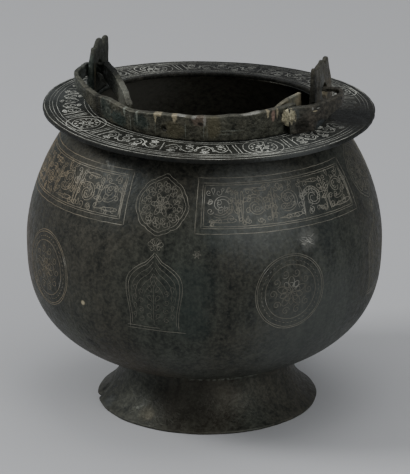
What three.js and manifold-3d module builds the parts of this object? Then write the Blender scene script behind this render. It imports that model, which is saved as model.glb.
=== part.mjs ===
// Cast bronze bath pail: a round bowl with a wide flat rim, a flared foot, two upright pronged lugs
// and a bail handle that swings between them and lies down on the rim.
// Sizes are in millimetres. +Z is up, the base stands on Z = 0 and the bowl's axis is the Z axis.
// The foot and the rim lean a little away from that axis. The hinge axis of the bail runs along X,
// and the bail lies towards the front, -Y.

import * as THREE from 'three';
import { mergeVertices } from 'three/addons/utils/BufferGeometryUtils.js';
import Module from 'manifold-3d';

const wasm = await Module();
wasm.setup();

// Bowl
const bellyRadius = 100;
const bowlLift = 21.5;
const lowerReach = 75.5;
const upperReach = 104.5;
const lowerFullness = 2.9;
const upperFullness = 1.8;
const bowlWall = 2.8;

// Rim
const rimRadius = 92.4;
const mouthRadius = 63.5;
const neckOverMouth = 4;
const rimThickness = 2.4;
const rimFall = 1.7;
const rimEdgeRound = 0.5;

// Handmade lean: the foot and the rim sit a little to one side of the bowl's axis. The rim dips
// there, and it is warped so that it stands higher along the lean than across it.
const leanAngle = 19.5;
const footLean = 1.5;
const rimLean = 2.6;
const rimDip = 1;
const rimWarp = 1;

// Foot
const footRadius = 62.5;
const waistRadius = 47;
const footEdgeHeight = 1.2;
const footFlare = 2.6;
const footWall = 3;

// Lugs. Each reaches to the front and to the back of the rim's centre, and one of its sides draws in
// towards the prongs. The middle prong is the tallest, and the others drop below it.
const lugThickness = 3.8;
const lugTaper = 0.4;
const lugSetback = 0.7;
const lugShoulder = 0.6;
const frontProngRadius = 1.6;
const backProngRadius = 2.9;
const prongSlope = 35;
const leftLugRise = 33.6;
const leftLugFront = 14;
const leftLugBack = 12.3;
const leftFrontDraw = 4.2;
const leftBackDraw = 0;
const leftFrontDrop = 3.5;
const leftBackDrop = 1.2;
const leftMiddleShift = -0.6;
const leftMiddleRadius = 4.4;
const rightLugRise = 35.5;
const rightLugFront = 20.6;
const rightLugBack = 12;
const rightFrontDraw = 0;
const rightBackDraw = 7.6;
const rightFrontDrop = 1.3;
const rightBackDrop = 0.2;
const rightMiddleShift = -6.4;
const rightMiddleRadius = 2.1;
const hingeRise = 17;
const hingeAhead = 2.5;
const hingeHoleRadius = 4.2;

// Bail band, with the leg, hook and tongue that are forged at its left end
const bandThickness = 3.4;
const bandHeight = 15.5;
const bandOverMouth = 4;
const bandLeftHeight = 13;
const bandNotch = 1.7;
const bandNotchAngle = 20.6;
const bandNotchSpan = 15.4;
const bandFlatAngle = 36;
const bandBrokenAngle = 64;
const legThickness = 2.5;
const legTop = 5.6;
const legBottom = -1.8;
const legDraw = 1.7;
const hookHeight = 5.6;
const hookReach = 0.6;
const hookBend = 3.6;
const tongueHeight = 12.4;
const tongueTipAngle = 24;
const tongueBulge = 1.9;
const tongueCrown = 2;
const bandHoleRadius = 1.7;
const bandHoleAngle = -2;
const bandHoleRise = 5;

// Repair strap, which took the place of the right leg when that broke
const strapThickness = 3;
const strapTop = 3.3;
const strapLapAngle = 57.5;
const strapHookReach = 9.7;
const strapHookHeight = 2.4;
const strapHookRise = 1;
const strapSag = 0.7;
const strapLead = 1.6;

// Stump of the old right tongue
const stumpThickness = 2.6;
const stumpHeight = 10;
const stumpTop = 1.4;
const stumpRise = 2.2;
const stumpLength = 25;
const stumpAngle = 52;
const stumpLean = 18.6;

// Solder over the lap
const solderThickness = 2.2;
const solderSpan = 6.5;

// Clearances, and how far a piece runs on before its neighbour trims it
const seatGap = 0.3;
const restGap = 0.55;
const trimOverlap = 4;
const swingClearance = 0.5;

// Number of facets round the axis, and of steps along each curve
const roundSegments = 64;
const bowlSteps = 12;
const footSteps = 7;
const routeSteps = 3;

const toRadians = THREE.MathUtils.degToRad;
const lerp = THREE.MathUtils.lerp;

// Heights that follow from the bowl: its belly, its rim where the bowl has drawn in to the neck's
// radius, and the hinge above that rim.
const bellyHeight = bowlLift + lowerReach;
const neckShare = (mouthRadius + neckOverMouth) / bellyRadius;
const rimEdgeHeight = bellyHeight + upperReach * (1 - neckShare ** 2) ** (1 / upperFullness);
const hingeHeight = rimEdgeHeight + hingeRise;

const leftLug = {
  side: -1,
  rise: leftLugRise,
  front: leftLugFront,
  back: leftLugBack,
  frontDraw: leftFrontDraw,
  backDraw: leftBackDraw,
  frontDrop: leftFrontDrop,
  backDrop: leftBackDrop,
  middleShift: leftMiddleShift,
  middleRadius: leftMiddleRadius,
};

const rightLug = {
  side: 1,
  rise: rightLugRise,
  front: rightLugFront,
  back: rightLugBack,
  frontDraw: rightFrontDraw,
  backDraw: rightBackDraw,
  frontDrop: rightFrontDrop,
  backDrop: rightBackDrop,
  middleShift: rightMiddleShift,
  middleRadius: rightMiddleRadius,
};

const materials = {
  bowl: new THREE.MeshStandardMaterial({ color: 0x3c3b33, roughness: 0.5, metalness: 0.8 }),
  rim: new THREE.MeshStandardMaterial({ color: 0x45453d, roughness: 0.55, metalness: 0.75 }),
  foot: new THREE.MeshStandardMaterial({ color: 0x45413a, roughness: 0.5, metalness: 0.8 }),
  lug: new THREE.MeshStandardMaterial({ color: 0x54524b, roughness: 0.6, metalness: 0.7 }),
  band: new THREE.MeshStandardMaterial({ color: 0x47483f, roughness: 0.6, metalness: 0.7 }),
  strap: new THREE.MeshStandardMaterial({ color: 0x575147, roughness: 0.55, metalness: 0.75 }),
  stump: new THREE.MeshStandardMaterial({ color: 0x77715c, roughness: 0.75, metalness: 0.5 }),
  solder: new THREE.MeshStandardMaterial({ color: 0x8a8262, roughness: 0.85, metalness: 0.3 }),
};

// Outer radius of the bowl at a height: a quarter of a rounded square below the belly, another above.
function bowlRadiusAt(height) {
  const below = height < bellyHeight;
  const reach = below ? lowerReach : upperReach;
  const fullness = below ? lowerFullness : upperFullness;
  const share = Math.abs(height - bellyHeight) / reach;
  return bellyRadius * Math.sqrt(Math.max(0, 1 - share ** fullness));
}

// Height of the bowl's underside at a radius, the same curve read the other way.
function bowlUndersideAt(radius) {
  const share = (1 - (radius / bellyRadius) ** 2) ** (1 / lowerFullness);
  return bellyHeight - lowerReach * share;
}

// The rim's top falls evenly from the mouth to the edge, and its underside runs beside it.
function rimTopAt(radius) {
  return rimEdgeHeight + rimFall * (rimRadius - radius) / (rimRadius - mouthRadius);
}

function rimUndersideAt(radius) {
  return rimTopAt(radius) - rimThickness;
}

// Moves each point of an open profile square to it, to the side of the axis.
function insetProfile(profile, distance) {
  return profile.map((point, index) => {
    const before = profile[Math.max(index - 1, 0)];
    const after = profile[Math.min(index + 1, profile.length - 1)];
    const along = after.clone().sub(before).normalize();
    return new THREE.Vector2(point.x - along.y * distance, point.y + along.x * distance);
  });
}

// Direction of the lean on the ground, and the turn that dips the rim that way.
const lean = new THREE.Vector3(Math.cos(toRadians(leanAngle)), Math.sin(toRadians(leanAngle)), 0);
const dipAxis = new THREE.Vector3(-lean.y, lean.x, 0);
const dip = new THREE.Quaternion().setFromAxisAngle(dipAxis, toRadians(rimDip));

// Rise of the warped rim at an angle round the axis, counted from +X.
function warpAt(angle) {
  return rimWarp * Math.cos(2 * (angle - toRadians(leanAngle)));
}

// Drop of the dipped rim at a radius and an angle.
function dipAt(radius, angle) {
  return radius * Math.cos(angle - toRadians(leanAngle)) * Math.sin(toRadians(rimDip));
}

function warped(geometry) {
  const points = geometry.attributes.position;
  for (let index = 0; index < points.count; index += 1) {
    const x = points.getX(index);
    const y = points.getY(index);
    const share = Math.min(1, Math.hypot(x, y) / mouthRadius);
    points.setZ(index, points.getZ(index) + share * warpAt(Math.atan2(y, x)));
  }
  return geometry;
}

// Moves a shape that was made square on the Z axis to where the rim really lies.
function settleOnBowl(geometry) {
  geometry.translate(0, 0, -rimEdgeHeight);
  geometry.applyQuaternion(dip);
  return geometry.translate(rimLean * lean.x, rimLean * lean.y, rimEdgeHeight);
}

// Turns a profile of radius and height about the Z axis.
function turned(profile) {
  const geometry = new THREE.LatheGeometry(profile, roundSegments);
  geometry.rotateX(Math.PI / 2);
  return geometry;
}

// The bowl's outer curve from its lowest point up through the rim.
function bowlCurve() {
  const outer = [];
  for (let step = 0; step <= bowlSteps; step += 1) {
    const turn = (1 - (1 - step / bowlSteps) ** 1.5) * Math.PI / 2;
    const height = bellyHeight - lowerReach * Math.cos(turn) ** (2 / lowerFullness);
    outer.push(new THREE.Vector2(bellyRadius * Math.sin(turn), height));
  }
  for (let step = 1; step <= bowlSteps; step += 1) {
    const height = lerp(bellyHeight, rimEdgeHeight + trimOverlap, step / bowlSteps);
    outer.push(new THREE.Vector2(bowlRadiusAt(height), height));
  }
  return outer;
}

// Everything above the rim's underside, less a seat gap: it trims the bowl's top to the rim.
function aboveRimGeometry() {
  const middle = rimUndersideAt(0) - seatGap;
  const edge = rimUndersideAt(bellyRadius) - seatGap;
  const above = middle + trimOverlap * 3;
  const ring = mouthRadius / bellyRadius;
  return settleOnBowl(warped(turned([
    new THREE.Vector2(0, middle),
    new THREE.Vector2(mouthRadius, lerp(middle, edge, ring)),
    new THREE.Vector2(bellyRadius, edge),
    new THREE.Vector2(bellyRadius, above),
    new THREE.Vector2(0, above),
  ])));
}

function bowlGeometry() {
  const outer = bowlCurve();
  const inner = insetProfile(outer, bowlWall);
  inner[0].x = 0;
  const shell = toSolid(turned([...outer, ...inner.reverse(), outer[0].clone()]));
  return toGeometry(shell.subtract(toSolid(aboveRimGeometry())));
}

function rimGeometry() {
  const bottom = rimUndersideAt(rimRadius);
  const innerTop = rimTopAt(mouthRadius);
  const profile = [
    new THREE.Vector2(mouthRadius, innerTop - rimThickness),
    new THREE.Vector2(rimRadius - rimEdgeRound, bottom),
    new THREE.Vector2(rimRadius, bottom + rimEdgeRound),
    new THREE.Vector2(rimRadius, rimEdgeHeight - rimEdgeRound),
    new THREE.Vector2(rimRadius - rimEdgeRound, rimTopAt(rimRadius - rimEdgeRound)),
    new THREE.Vector2(mouthRadius + rimEdgeRound, rimTopAt(mouthRadius + rimEdgeRound)),
    new THREE.Vector2(mouthRadius, innerTop - rimEdgeRound),
    new THREE.Vector2(mouthRadius, innerTop - rimThickness),
  ];
  return settleOnBowl(warped(turned(profile)));
}

// The bowl's outside grown by a seat gap and closed above: it trims the foot's top to the bowl.
function roundBowlGeometry() {
  const outer = insetProfile(bowlCurve(), -seatGap);
  outer[0].x = 0;
  return turned([...outer, new THREE.Vector2(0, outer[outer.length - 1].y)]);
}

// Starts a profile that runs upwards where it comes through the ground.
function cutAtGround(profile) {
  const first = Math.max(profile.findIndex((point) => point.y > 0), 1);
  const below = profile[first - 1];
  const share = below.y / (below.y - profile[first].y);
  return [below.clone().lerp(profile[first], share), ...profile.slice(first)];
}

// The foot spreads from the waist to the ground in a hollow curve, a power of the height.
function footGeometry() {
  const outer = [new THREE.Vector2(footRadius, 0), new THREE.Vector2(footRadius, footEdgeHeight)];
  const top = bowlUndersideAt(waistRadius) + trimOverlap;
  for (let step = 1; step <= footSteps; step += 1) {
    const share = (step / footSteps) ** 1.4;
    const height = lerp(footEdgeHeight, top, share);
    const radius = waistRadius + (footRadius - waistRadius) * (1 - share) ** footFlare;
    outer.push(new THREE.Vector2(radius, height));
  }
  const inner = cutAtGround(insetProfile(outer.slice(1), footWall));
  const ring = turned([...outer, ...inner.reverse(), outer[0].clone()]);
  ring.translate(footLean * lean.x, footLean * lean.y, 0);
  return toGeometry(toSolid(ring).subtract(toSolid(roundBowlGeometry())));
}

// Places of the lugs and the hinge.
const lugInnerFace = mouthRadius + lugSetback;
const lugOuterFace = lugInnerFace + lugThickness;

// Height where a lug stands on the dipped and warped rim, on the side named by its sign.
function lugBaseAt(side) {
  const angle = side > 0 ? 0 : Math.PI;
  return rimTopAt(lugInnerFace) + rimWarp - dipAt(lugOuterFace, angle) + seatGap;
}

// Centres of a lug's front and back prong, from the rim's centre and from the rim's edge.
function frontProngOf(shape) {
  const y = -shape.front + shape.frontDraw + frontProngRadius;
  return new THREE.Vector2(y, shape.rise - shape.frontDrop - frontProngRadius);
}

function backProngOf(shape) {
  const y = shape.back - shape.backDraw - backProngRadius;
  return new THREE.Vector2(y, shape.rise - shape.backDrop - backProngRadius);
}

// A lug is a flat plate with three rounded prongs and the hinge hole. It thins towards its top on the
// side that faces -X.
function lugGeometry(shape, base) {
  const floor = base - rimEdgeHeight;
  const height = shape.rise - floor;
  const front = frontProngOf(shape);
  const back = backProngOf(shape);
  const middleHeight = height - shape.middleRadius;
  const middleEnd = Math.PI - toRadians(prongSlope);
  const shoulder = height * lugShoulder;
  const outline = new THREE.Shape();
  outline.moveTo(-shape.front, 0);
  outline.lineTo(shape.back, 0);
  outline.quadraticCurveTo(shape.back, shoulder, back.x + backProngRadius, back.y - floor);
  outline.absarc(back.x, back.y - floor, backProngRadius, 0, Math.PI, false);
  outline.absarc(shape.middleShift, middleHeight, shape.middleRadius, 0, middleEnd, false);
  outline.absarc(front.x, front.y - floor, frontProngRadius, 0, Math.PI, false);
  outline.quadraticCurveTo(-shape.front, shoulder, -shape.front, 0);
  const hole = new THREE.Path();
  hole.absarc(-hingeAhead, hingeHeight - base, hingeHoleRadius, 0, 2 * Math.PI, true);
  outline.holes.push(hole);
  const plate = new THREE.ExtrudeGeometry(outline, {
    depth: lugThickness,
    curveSegments: 10,
    bevelEnabled: false,
  });
  const points = plate.attributes.position;
  for (let index = 0; index < points.count; index += 1) {
    const thinning = lugTaper * lugThickness * points.getY(index) / height;
    if (points.getZ(index) < lugThickness / 2) {
      points.setZ(index, thinning);
    }
  }
  return plate;
}

// The bail's own frame has the hinge axis as its X axis and the arch in its XY plane, at -Y.
const archOuter = mouthRadius + bandOverMouth;
const archCentre = archOuter - bandThickness / 2;
const archInner = archOuter - bandThickness;

// Height that a strip rests at, at a radius and an angle counted from the front towards +X.
function restHeight(radius, angle) {
  const round = angle - Math.PI / 2;
  return rimTopAt(radius) + warpAt(round) - dipAt(radius, round) + restGap;
}

// Angle that the bail's plane slopes down at rest, so that the front of the band lies on the rim.
function restAngle() {
  const front = archInner - hingeAhead;
  const drop = hingeHeight - restHeight(archInner, 0);
  const reach = Math.hypot(front, bandHeight / 2);
  return Math.asin(drop / reach) - Math.atan2(bandHeight / 2, front);
}

const slope = restAngle();

// Place of the lower edge, in the bail's frame, where a strip with this inner radius would rest.
function restingEdge(radius, angle) {
  const ahead = radius * Math.cos(angle) - hingeAhead;
  return (restHeight(radius, angle) - hingeHeight + ahead * Math.sin(slope)) / Math.cos(slope);
}

// One place on a strip's route: centre, thickness, and its upper and lower edge.
function place(x, y, thickness, top, bottom) {
  return { centre: new THREE.Vector3(x, y, thickness), edges: new THREE.Vector3(top, bottom, 0) };
}

// The arch is round about the rim's axis, which lies behind the hinge.
function placeOnArch(radius, angle, thickness, top, bottom) {
  const y = hingeAhead - radius * Math.cos(angle);
  return place(radius * Math.sin(angle), y, thickness, top, bottom);
}

// Smooths a route of places and carries a rectangle along it: a closed strip that stands on its edge.
function stripGeometry(route) {
  const centres = new THREE.CatmullRomCurve3(route.map((item) => item.centre), false, 'centripetal');
  const count = (route.length - 1) * routeSteps;
  const corners = [];
  for (let step = 0; step <= count; step += 1) {
    const centre = centres.getPoint(step / count);
    const along = centres.getTangent(step / count).setZ(0).normalize();
    const before = Math.min(Math.floor(step / routeSteps), route.length - 2);
    const share = step / routeSteps - before;
    const edge = route[before].edges.clone().lerp(route[before + 1].edges, share);
    const side = new THREE.Vector2(-along.y, along.x).multiplyScalar(centre.z / 2);
    corners.push(centre.x + side.x, centre.y + side.y, edge.x);
    corners.push(centre.x - side.x, centre.y - side.y, edge.x);
    corners.push(centre.x - side.x, centre.y - side.y, edge.y);
    corners.push(centre.x + side.x, centre.y + side.y, edge.y);
  }
  const faces = [0, 2, 1, 0, 3, 2];
  for (let step = 0; step < count; step += 1) {
    for (let corner = 0; corner < 4; corner += 1) {
      const a = step * 4 + corner;
      const b = step * 4 + (corner + 1) % 4;
      faces.push(a, b, b + 4, a, b + 4, a + 4);
    }
  }
  const last = count * 4;
  faces.push(last, last + 1, last + 2, last, last + 2, last + 3);
  const geometry = new THREE.BufferGeometry();
  geometry.setAttribute('position', new THREE.Float32BufferAttribute(corners, 3));
  geometry.setIndex(faces);
  return geometry;
}

// Furthest that a lug reaches from the hinge axis, at its foot's corners or its outer prongs, which
// the bail has to swing past.
function lugSweep(shape) {
  const axis = new THREE.Vector2(-hingeAhead, hingeRise);
  const floor = lugBaseAt(shape.side) - rimEdgeHeight;
  const corners = [new THREE.Vector2(-shape.front, floor), new THREE.Vector2(shape.back, floor)];
  const reach = Math.max(
    ...corners.map((corner) => corner.distanceTo(axis)),
    frontProngOf(shape).distanceTo(axis) + frontProngRadius,
    backProngOf(shape).distanceTo(axis) + backProngRadius,
  );
  return reach + swingClearance;
}

// The band gets lower towards its left end, and its top edge dips where the tongue's tip lies behind it.
function bandHeightAt(angle) {
  const right = -toRadians(bandBrokenAngle);
  const left = toRadians(bandFlatAngle);
  const ease = THREE.MathUtils.smoothstep(-angle, right, left);
  const away = Math.abs(angle + toRadians(bandNotchAngle)) / toRadians(bandNotchSpan);
  return lerp(bandHeight, bandLeftHeight, ease) - bandNotch * Math.max(0, 1 - away);
}

// The band runs round the front of the mouth. Its left end draws out into a leg beside the lug,
// goes in through the lug's hole and folds back as a long tongue to the inside of the band.
function bandRoute() {
  const route = [];
  const archSteps = 13;
  for (let step = 0; step <= archSteps; step += 1) {
    const angle = toRadians(lerp(bandBrokenAngle, -bandFlatAngle, step / archSteps));
    const bottom = restingEdge(archInner, angle);
    route.push(placeOnArch(archCentre, angle, bandThickness, bottom + bandHeightAt(angle), bottom));
  }
  const legX = lugOuterFace + swingClearance + legThickness / 2;
  const legY = lugSweep(leftLug);
  const legAngle = Math.atan2(legX, legY + hingeAhead);
  const legRadius = Math.hypot(legX, legY + hingeAhead);
  const flat = toRadians(bandFlatAngle);
  const archEnd = restingEdge(archInner, -flat);
  const legSteps = 4;
  for (let step = 1; step <= legSteps; step += 1) {
    const share = step / legSteps;
    const angle = lerp(flat, legAngle, share);
    const radius = lerp(archCentre, legRadius, share ** 1.6);
    const thickness = lerp(bandThickness, legThickness, share);
    const ease = THREE.MathUtils.smoothstep(share, 0, 1);
    const draw = legDraw * Math.sin(share * Math.PI);
    const top = lerp(archEnd + bandLeftHeight, legTop, ease) - draw;
    const bottom = lerp(archEnd, legBottom, share ** 1.3);
    route.push(placeOnArch(radius, -angle, thickness, top, bottom));
  }
  const outX = lugOuterFace + hookReach + legThickness / 2;
  const half = hookHeight / 2;
  route.push(place(-outX + 0.2, -legY / 2, legThickness, legTop, legBottom));
  route.push(place(-outX, -hookBend, legThickness, half * 1.5, -half * 1.2));
  route.push(place(-outX + hookBend * 0.3, -hookBend * 0.3, legThickness, half, -half));
  route.push(place(-outX + hookBend, 0, legThickness, half, -half));
  route.push(place(-lugInnerFace, 0, legThickness, half, -half));
  const bendX = lugInnerFace - hookBend;
  route.push(place(-bendX, -hookBend * 0.3, legThickness, half * 1.2, -half * 1.4));
  const tipAngle = toRadians(tongueTipAngle);
  const tipRadius = archInner - bandThickness / 2 - seatGap;
  const tip = new THREE.Vector2(
    -tipRadius * Math.sin(tipAngle),
    hingeAhead - tipRadius * Math.cos(tipAngle),
  );
  const root = new THREE.Vector2(-bendX + hookBend * 0.5, -hookBend);
  const tongueHalf = tongueHeight / 2;
  const shares = [0, 0.3, 0.65, 1];
  const heights = [0.62, 0.94, 1, 0.9];
  shares.forEach((share, index) => {
    const point = root.clone().lerp(tip, share);
    point.x += tongueBulge * Math.sin(share * Math.PI);
    const top = tongueHalf * heights[index] - share + tongueCrown * (1 - share);
    const bottom = -tongueHalf * heights[index] - share;
    route.push(place(point.x, point.y, bandThickness, top, bottom));
  });
  return route;
}

// Joins a geometry's corners, drops the flat triangles on its axis and makes a solid of it.
function toSolid(geometry) {
  geometry.deleteAttribute('normal');
  geometry.deleteAttribute('uv');
  const merged = mergeVertices(geometry);
  const index = merged.index.array;
  const faces = [];
  for (let start = 0; start < index.length; start += 3) {
    const [a, b, c] = index.slice(start, start + 3);
    if (a !== b && b !== c && c !== a) {
      faces.push(a, b, c);
    }
  }
  return new wasm.Manifold(new wasm.Mesh({
    numProp: 3,
    vertProperties: merged.attributes.position.array,
    triVerts: Uint32Array.from(faces),
  }));
}

function toGeometry(solid) {
  const mesh = solid.getMesh();
  const geometry = new THREE.BufferGeometry();
  geometry.setAttribute('position', new THREE.BufferAttribute(mesh.vertProperties, 3));
  geometry.setIndex(new THREE.BufferAttribute(mesh.triVerts, 1));
  return geometry;
}

// The band has one small hole through it, near its lower edge at the front.
function bandGeometry() {
  const angle = toRadians(bandHoleAngle);
  const drill = new THREE.CylinderGeometry(bandHoleRadius, bandHoleRadius, bandThickness * 3, 16);
  drill.rotateZ(angle);
  const rise = restingEdge(archInner, angle) + bandHoleRise;
  drill.translate(archCentre * Math.sin(angle), hingeAhead - archCentre * Math.cos(angle), rise);
  return toGeometry(toSolid(stripGeometry(bandRoute())).subtract(toSolid(drill)));
}

// Where the strap leaves the band, beside the right lug, and its centre line on the way there.
const strapLegX = lugOuterFace + swingClearance + strapThickness / 2;
const strapLegY = lugSweep(rightLug) + strapLead;
const strapLap = toRadians(strapLapAngle);

function strapRadiusAt(angle) {
  const lapRadius = archOuter + seatGap + strapThickness / 2;
  const legRadius = Math.hypot(strapLegX, strapLegY + hingeAhead);
  const legAngle = Math.atan2(strapLegX, strapLegY + hingeAhead);
  return lerp(lapRadius, legRadius, THREE.MathUtils.smoothstep(angle, strapLap, legAngle));
}

// The strap laps the band's outer face, bulges out round the lug and hooks in through its hole.
function strapGeometry() {
  const legAngle = Math.atan2(strapLegX, strapLegY + hingeAhead);
  const route = [];
  const lapSteps = 3;
  for (let step = 0; step <= lapSteps; step += 1) {
    const share = step / lapSteps;
    const angle = lerp(strapLap, legAngle, share);
    const radius = strapRadiusAt(angle);
    const bottom = restingEdge(radius - strapThickness / 2, angle) + share * 1.2;
    route.push(placeOnArch(radius, angle, strapThickness, strapTop, bottom));
  }
  const outX = lugOuterFace + strapHookReach + strapThickness / 2;
  const hookTop = strapHookRise + strapHookHeight / 2;
  const hookBottom = strapHookRise - strapHookHeight / 2;
  const bulgeX = lerp(strapLegX, outX, 0.55);
  const bulgeTop = strapTop - strapSag;
  route.push(place(bulgeX, -strapLegY * 0.66, strapThickness, bulgeTop, -strapTop * 2.1));
  route.push(place(outX, -strapLegY * 0.28, strapThickness, bulgeTop, -strapTop));
  route.push(place(outX - 1, -strapLegY * 0.08, strapThickness * 0.9, hookTop, -hookTop));
  route.push(place(outX - hookBend, 0, strapThickness * 0.85, hookTop, hookBottom));
  route.push(place(lugOuterFace, 0, strapThickness * 0.85, hookTop, hookBottom));
  route.push(place(lugInnerFace - hookBend, 0, strapThickness * 0.8, hookTop, hookBottom));
  return stripGeometry(route);
}

// The stump is what is left of the old right tongue, on the inside of the band.
function stumpGeometry() {
  const start = toRadians(stumpAngle);
  const radius = archInner - seatGap - stumpThickness / 2;
  const foot = new THREE.Vector2(radius * Math.sin(start), hingeAhead - radius * Math.cos(start));
  const heading = start + toRadians(stumpLean);
  const way = new THREE.Vector2(Math.cos(heading), Math.sin(heading));
  const route = [];
  const shares = [1, 0.95, 0.84];
  shares.forEach((share, index) => {
    const along = index / (shares.length - 1);
    const point = foot.clone().addScaledVector(way, stumpLength * along);
    const top = stumpTop + stumpRise * Math.sin(along * Math.PI * 0.75);
    route.push(place(point.x, point.y, stumpThickness, top, stumpTop - stumpHeight * share));
  });
  return stripGeometry(route);
}

// Solder is heaped on the band in front of the lap and runs up over the end of the strap.
function solderGeometry() {
  const onBand = archOuter + seatGap + solderThickness / 2;
  const overStrap = strapThickness / 2 + seatGap * 2 + solderThickness / 2;
  const step = toRadians(solderSpan) / 3;
  const stops = [
    { angle: strapLap - step * 3, radius: onBand, share: 0.5 },
    { angle: strapLap - step * 1.7, radius: onBand, share: 1 },
    { angle: strapLap - step * 0.5, radius: strapRadiusAt(strapLap) + overStrap, share: 1 },
    { angle: strapLap + step, radius: strapRadiusAt(strapLap + step) + overStrap, share: 0.6 },
  ];
  const route = stops.map((stop) => {
    const bottom = restingEdge(archInner, stop.angle) + bandHeight * 0.25;
    return placeOnArch(stop.radius, stop.angle, solderThickness * stop.share, strapTop * 0.8, bottom);
  });
  return stripGeometry(route);
}

function named(name, geometry, material) {
  const mesh = new THREE.Mesh(geometry, material);
  mesh.name = name;
  return mesh;
}

function lug(name, shape) {
  const base = lugBaseAt(shape.side);
  const mesh = named(name, lugGeometry(shape, base), materials.lug);
  const across = new THREE.Vector3(0, 1, 0);
  const up = new THREE.Vector3(0, 0, 1);
  const out = new THREE.Vector3(1, 0, 0);
  mesh.quaternion.setFromRotationMatrix(new THREE.Matrix4().makeBasis(across, up, out));
  mesh.position.set(shape.side > 0 ? lugInnerFace : -lugOuterFace, 0, base);
  return mesh;
}

const bail = new THREE.Group();
bail.position.set(0, -hingeAhead, hingeHeight);
bail.rotation.x = slope;
bail.add(named('bail_band', bandGeometry(), materials.band));
bail.add(named('bail_strap', strapGeometry(), materials.strap));
bail.add(named('tongue_stump', stumpGeometry(), materials.stump));
bail.add(named('lap_solder', solderGeometry(), materials.solder));

// The lugs and the bail are made on the rim's own centre, which leans to one side.
const top = new THREE.Group();
top.position.set(rimLean * lean.x, rimLean * lean.y, 0);
top.add(lug('lug_left', leftLug));
top.add(lug('lug_right', rightLug));
top.add(bail);

const pail = new THREE.Group();
pail.add(named('bowl', bowlGeometry(), materials.bowl));
pail.add(named('rim_ring', rimGeometry(), materials.rim));
pail.add(named('foot_ring', footGeometry(), materials.foot));
pail.add(top);

export default pail;
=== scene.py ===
"""Looks of a cast bronze bath pail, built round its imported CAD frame.

The bowl, the rim, the foot, the lugs and the four pieces of the bail are skins worked out with numpy
from the sizes below. The engraving is made of thin raised lines that lie on those skins.
Lengths are in millimetres up to the moment a mesh is made, and in metres from there on.
"""

import math

import bpy
import numpy as np
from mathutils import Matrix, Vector


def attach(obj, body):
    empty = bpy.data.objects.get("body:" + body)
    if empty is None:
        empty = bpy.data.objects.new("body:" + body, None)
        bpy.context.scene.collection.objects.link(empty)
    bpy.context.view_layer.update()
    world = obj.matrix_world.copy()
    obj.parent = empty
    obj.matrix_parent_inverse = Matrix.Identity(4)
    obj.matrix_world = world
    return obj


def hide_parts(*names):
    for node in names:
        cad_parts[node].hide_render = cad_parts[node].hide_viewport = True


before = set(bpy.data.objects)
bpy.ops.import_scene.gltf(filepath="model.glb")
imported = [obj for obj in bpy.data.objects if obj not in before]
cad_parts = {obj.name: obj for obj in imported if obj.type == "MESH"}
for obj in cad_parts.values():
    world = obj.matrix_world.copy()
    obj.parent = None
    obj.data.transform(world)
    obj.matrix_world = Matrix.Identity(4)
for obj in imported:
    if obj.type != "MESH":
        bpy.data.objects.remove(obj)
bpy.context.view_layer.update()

bl_info = {
    "name": "Engraved bath pail",
    "version": (1, 0, 0),
    "blender": (4, 5, 0),
    "location": "3D View > Sidebar > Pail",
    "description": "Builds the skins, engraving and finishes of a cast bronze bath pail",
    "category": "Add Mesh",
}

MM = 0.001
FULL_TURN = 2 * math.pi

# Bowl
BELLY_RADIUS = 100.0
BOWL_LIFT = 21.5
LOWER_REACH = 75.5
UPPER_REACH = 104.5
LOWER_FULLNESS = 2.9
UPPER_FULLNESS = 1.8
BOWL_WALL = 2.8
INNER_NECK_RISE = 0.71
BELLY_HEIGHT = BOWL_LIFT + LOWER_REACH

# Rim
RIM_RADIUS = 92.4
MOUTH_RADIUS = 63.5
NECK_OVER_MOUTH = 4.0
RIM_THICKNESS = 2.4
RIM_FALL = 1.7
RIM_EDGE_ROUND = 0.55
NECK_SHARE = (MOUTH_RADIUS + NECK_OVER_MOUTH) / BELLY_RADIUS
RIM_EDGE_HEIGHT = BELLY_HEIGHT + UPPER_REACH * (1 - NECK_SHARE**2) ** (1 / UPPER_FULLNESS)

# Handmade lean of the foot and the rim
LEAN_ANGLE = math.radians(19.5)
LEAN = np.array([math.cos(LEAN_ANGLE), math.sin(LEAN_ANGLE), 0.0])
FOOT_LEAN = 1.5
RIM_LEAN = 2.6
RIM_DIP = math.radians(1)
RIM_WARP = 1.0

# Foot
FOOT_RADIUS = 62.5
WAIST_RADIUS = 47.0
FOOT_EDGE_HEIGHT = 1.2
FOOT_FLARE = 2.6
FOOT_WALL = 3.0
FOOT_OVERRUN = 4.0
FOOT_COVE = 1.6
FOOT_COVE_REACH = 2.2
FOOT_NICK_DEPTH = 2.4
FOOT_NICK_ANGLE = math.radians(-65)
FOOT_NICK_WIDTH = 0.045

# Lugs: how far each reaches to the front and back of the rim's centre, how much its sides draw in
# towards the prongs, and how far the outer prongs drop below the middle one
LUG_THICKNESS = 3.8
LUG_TAPER = 0.4
LUG_SETBACK = 0.7
LUG_SHOULDER = 0.6
LUG_ROUND = 0.7
HOLE_ROUND = 0.35
FRONT_PRONG_RADIUS = 1.6
BACK_PRONG_RADIUS = 2.9
PRONG_SLOPE = math.radians(35)
LUGS = {
    "lug_left": {
        "side": -1, "rise": 33.6, "front": 14.0, "back": 12.3, "front_draw": 4.2, "back_draw": 0.0,
        "front_drop": 3.5, "back_drop": 1.2, "middle_shift": -0.6, "middle_radius": 4.4,
    },
    "lug_right": {
        "side": 1, "rise": 35.5, "front": 20.6, "back": 12.0, "front_draw": 0.0, "back_draw": 7.6,
        "front_drop": 1.3, "back_drop": 0.2, "middle_shift": -6.4, "middle_radius": 2.1,
    },
}
HINGE_RISE = 17.0
HINGE_AHEAD = 2.5
HINGE_HOLE_RADIUS = 4.2
HINGE_HEIGHT = RIM_EDGE_HEIGHT + HINGE_RISE
LUG_INNER = MOUTH_RADIUS + LUG_SETBACK
LUG_OUTER = LUG_INNER + LUG_THICKNESS

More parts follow.
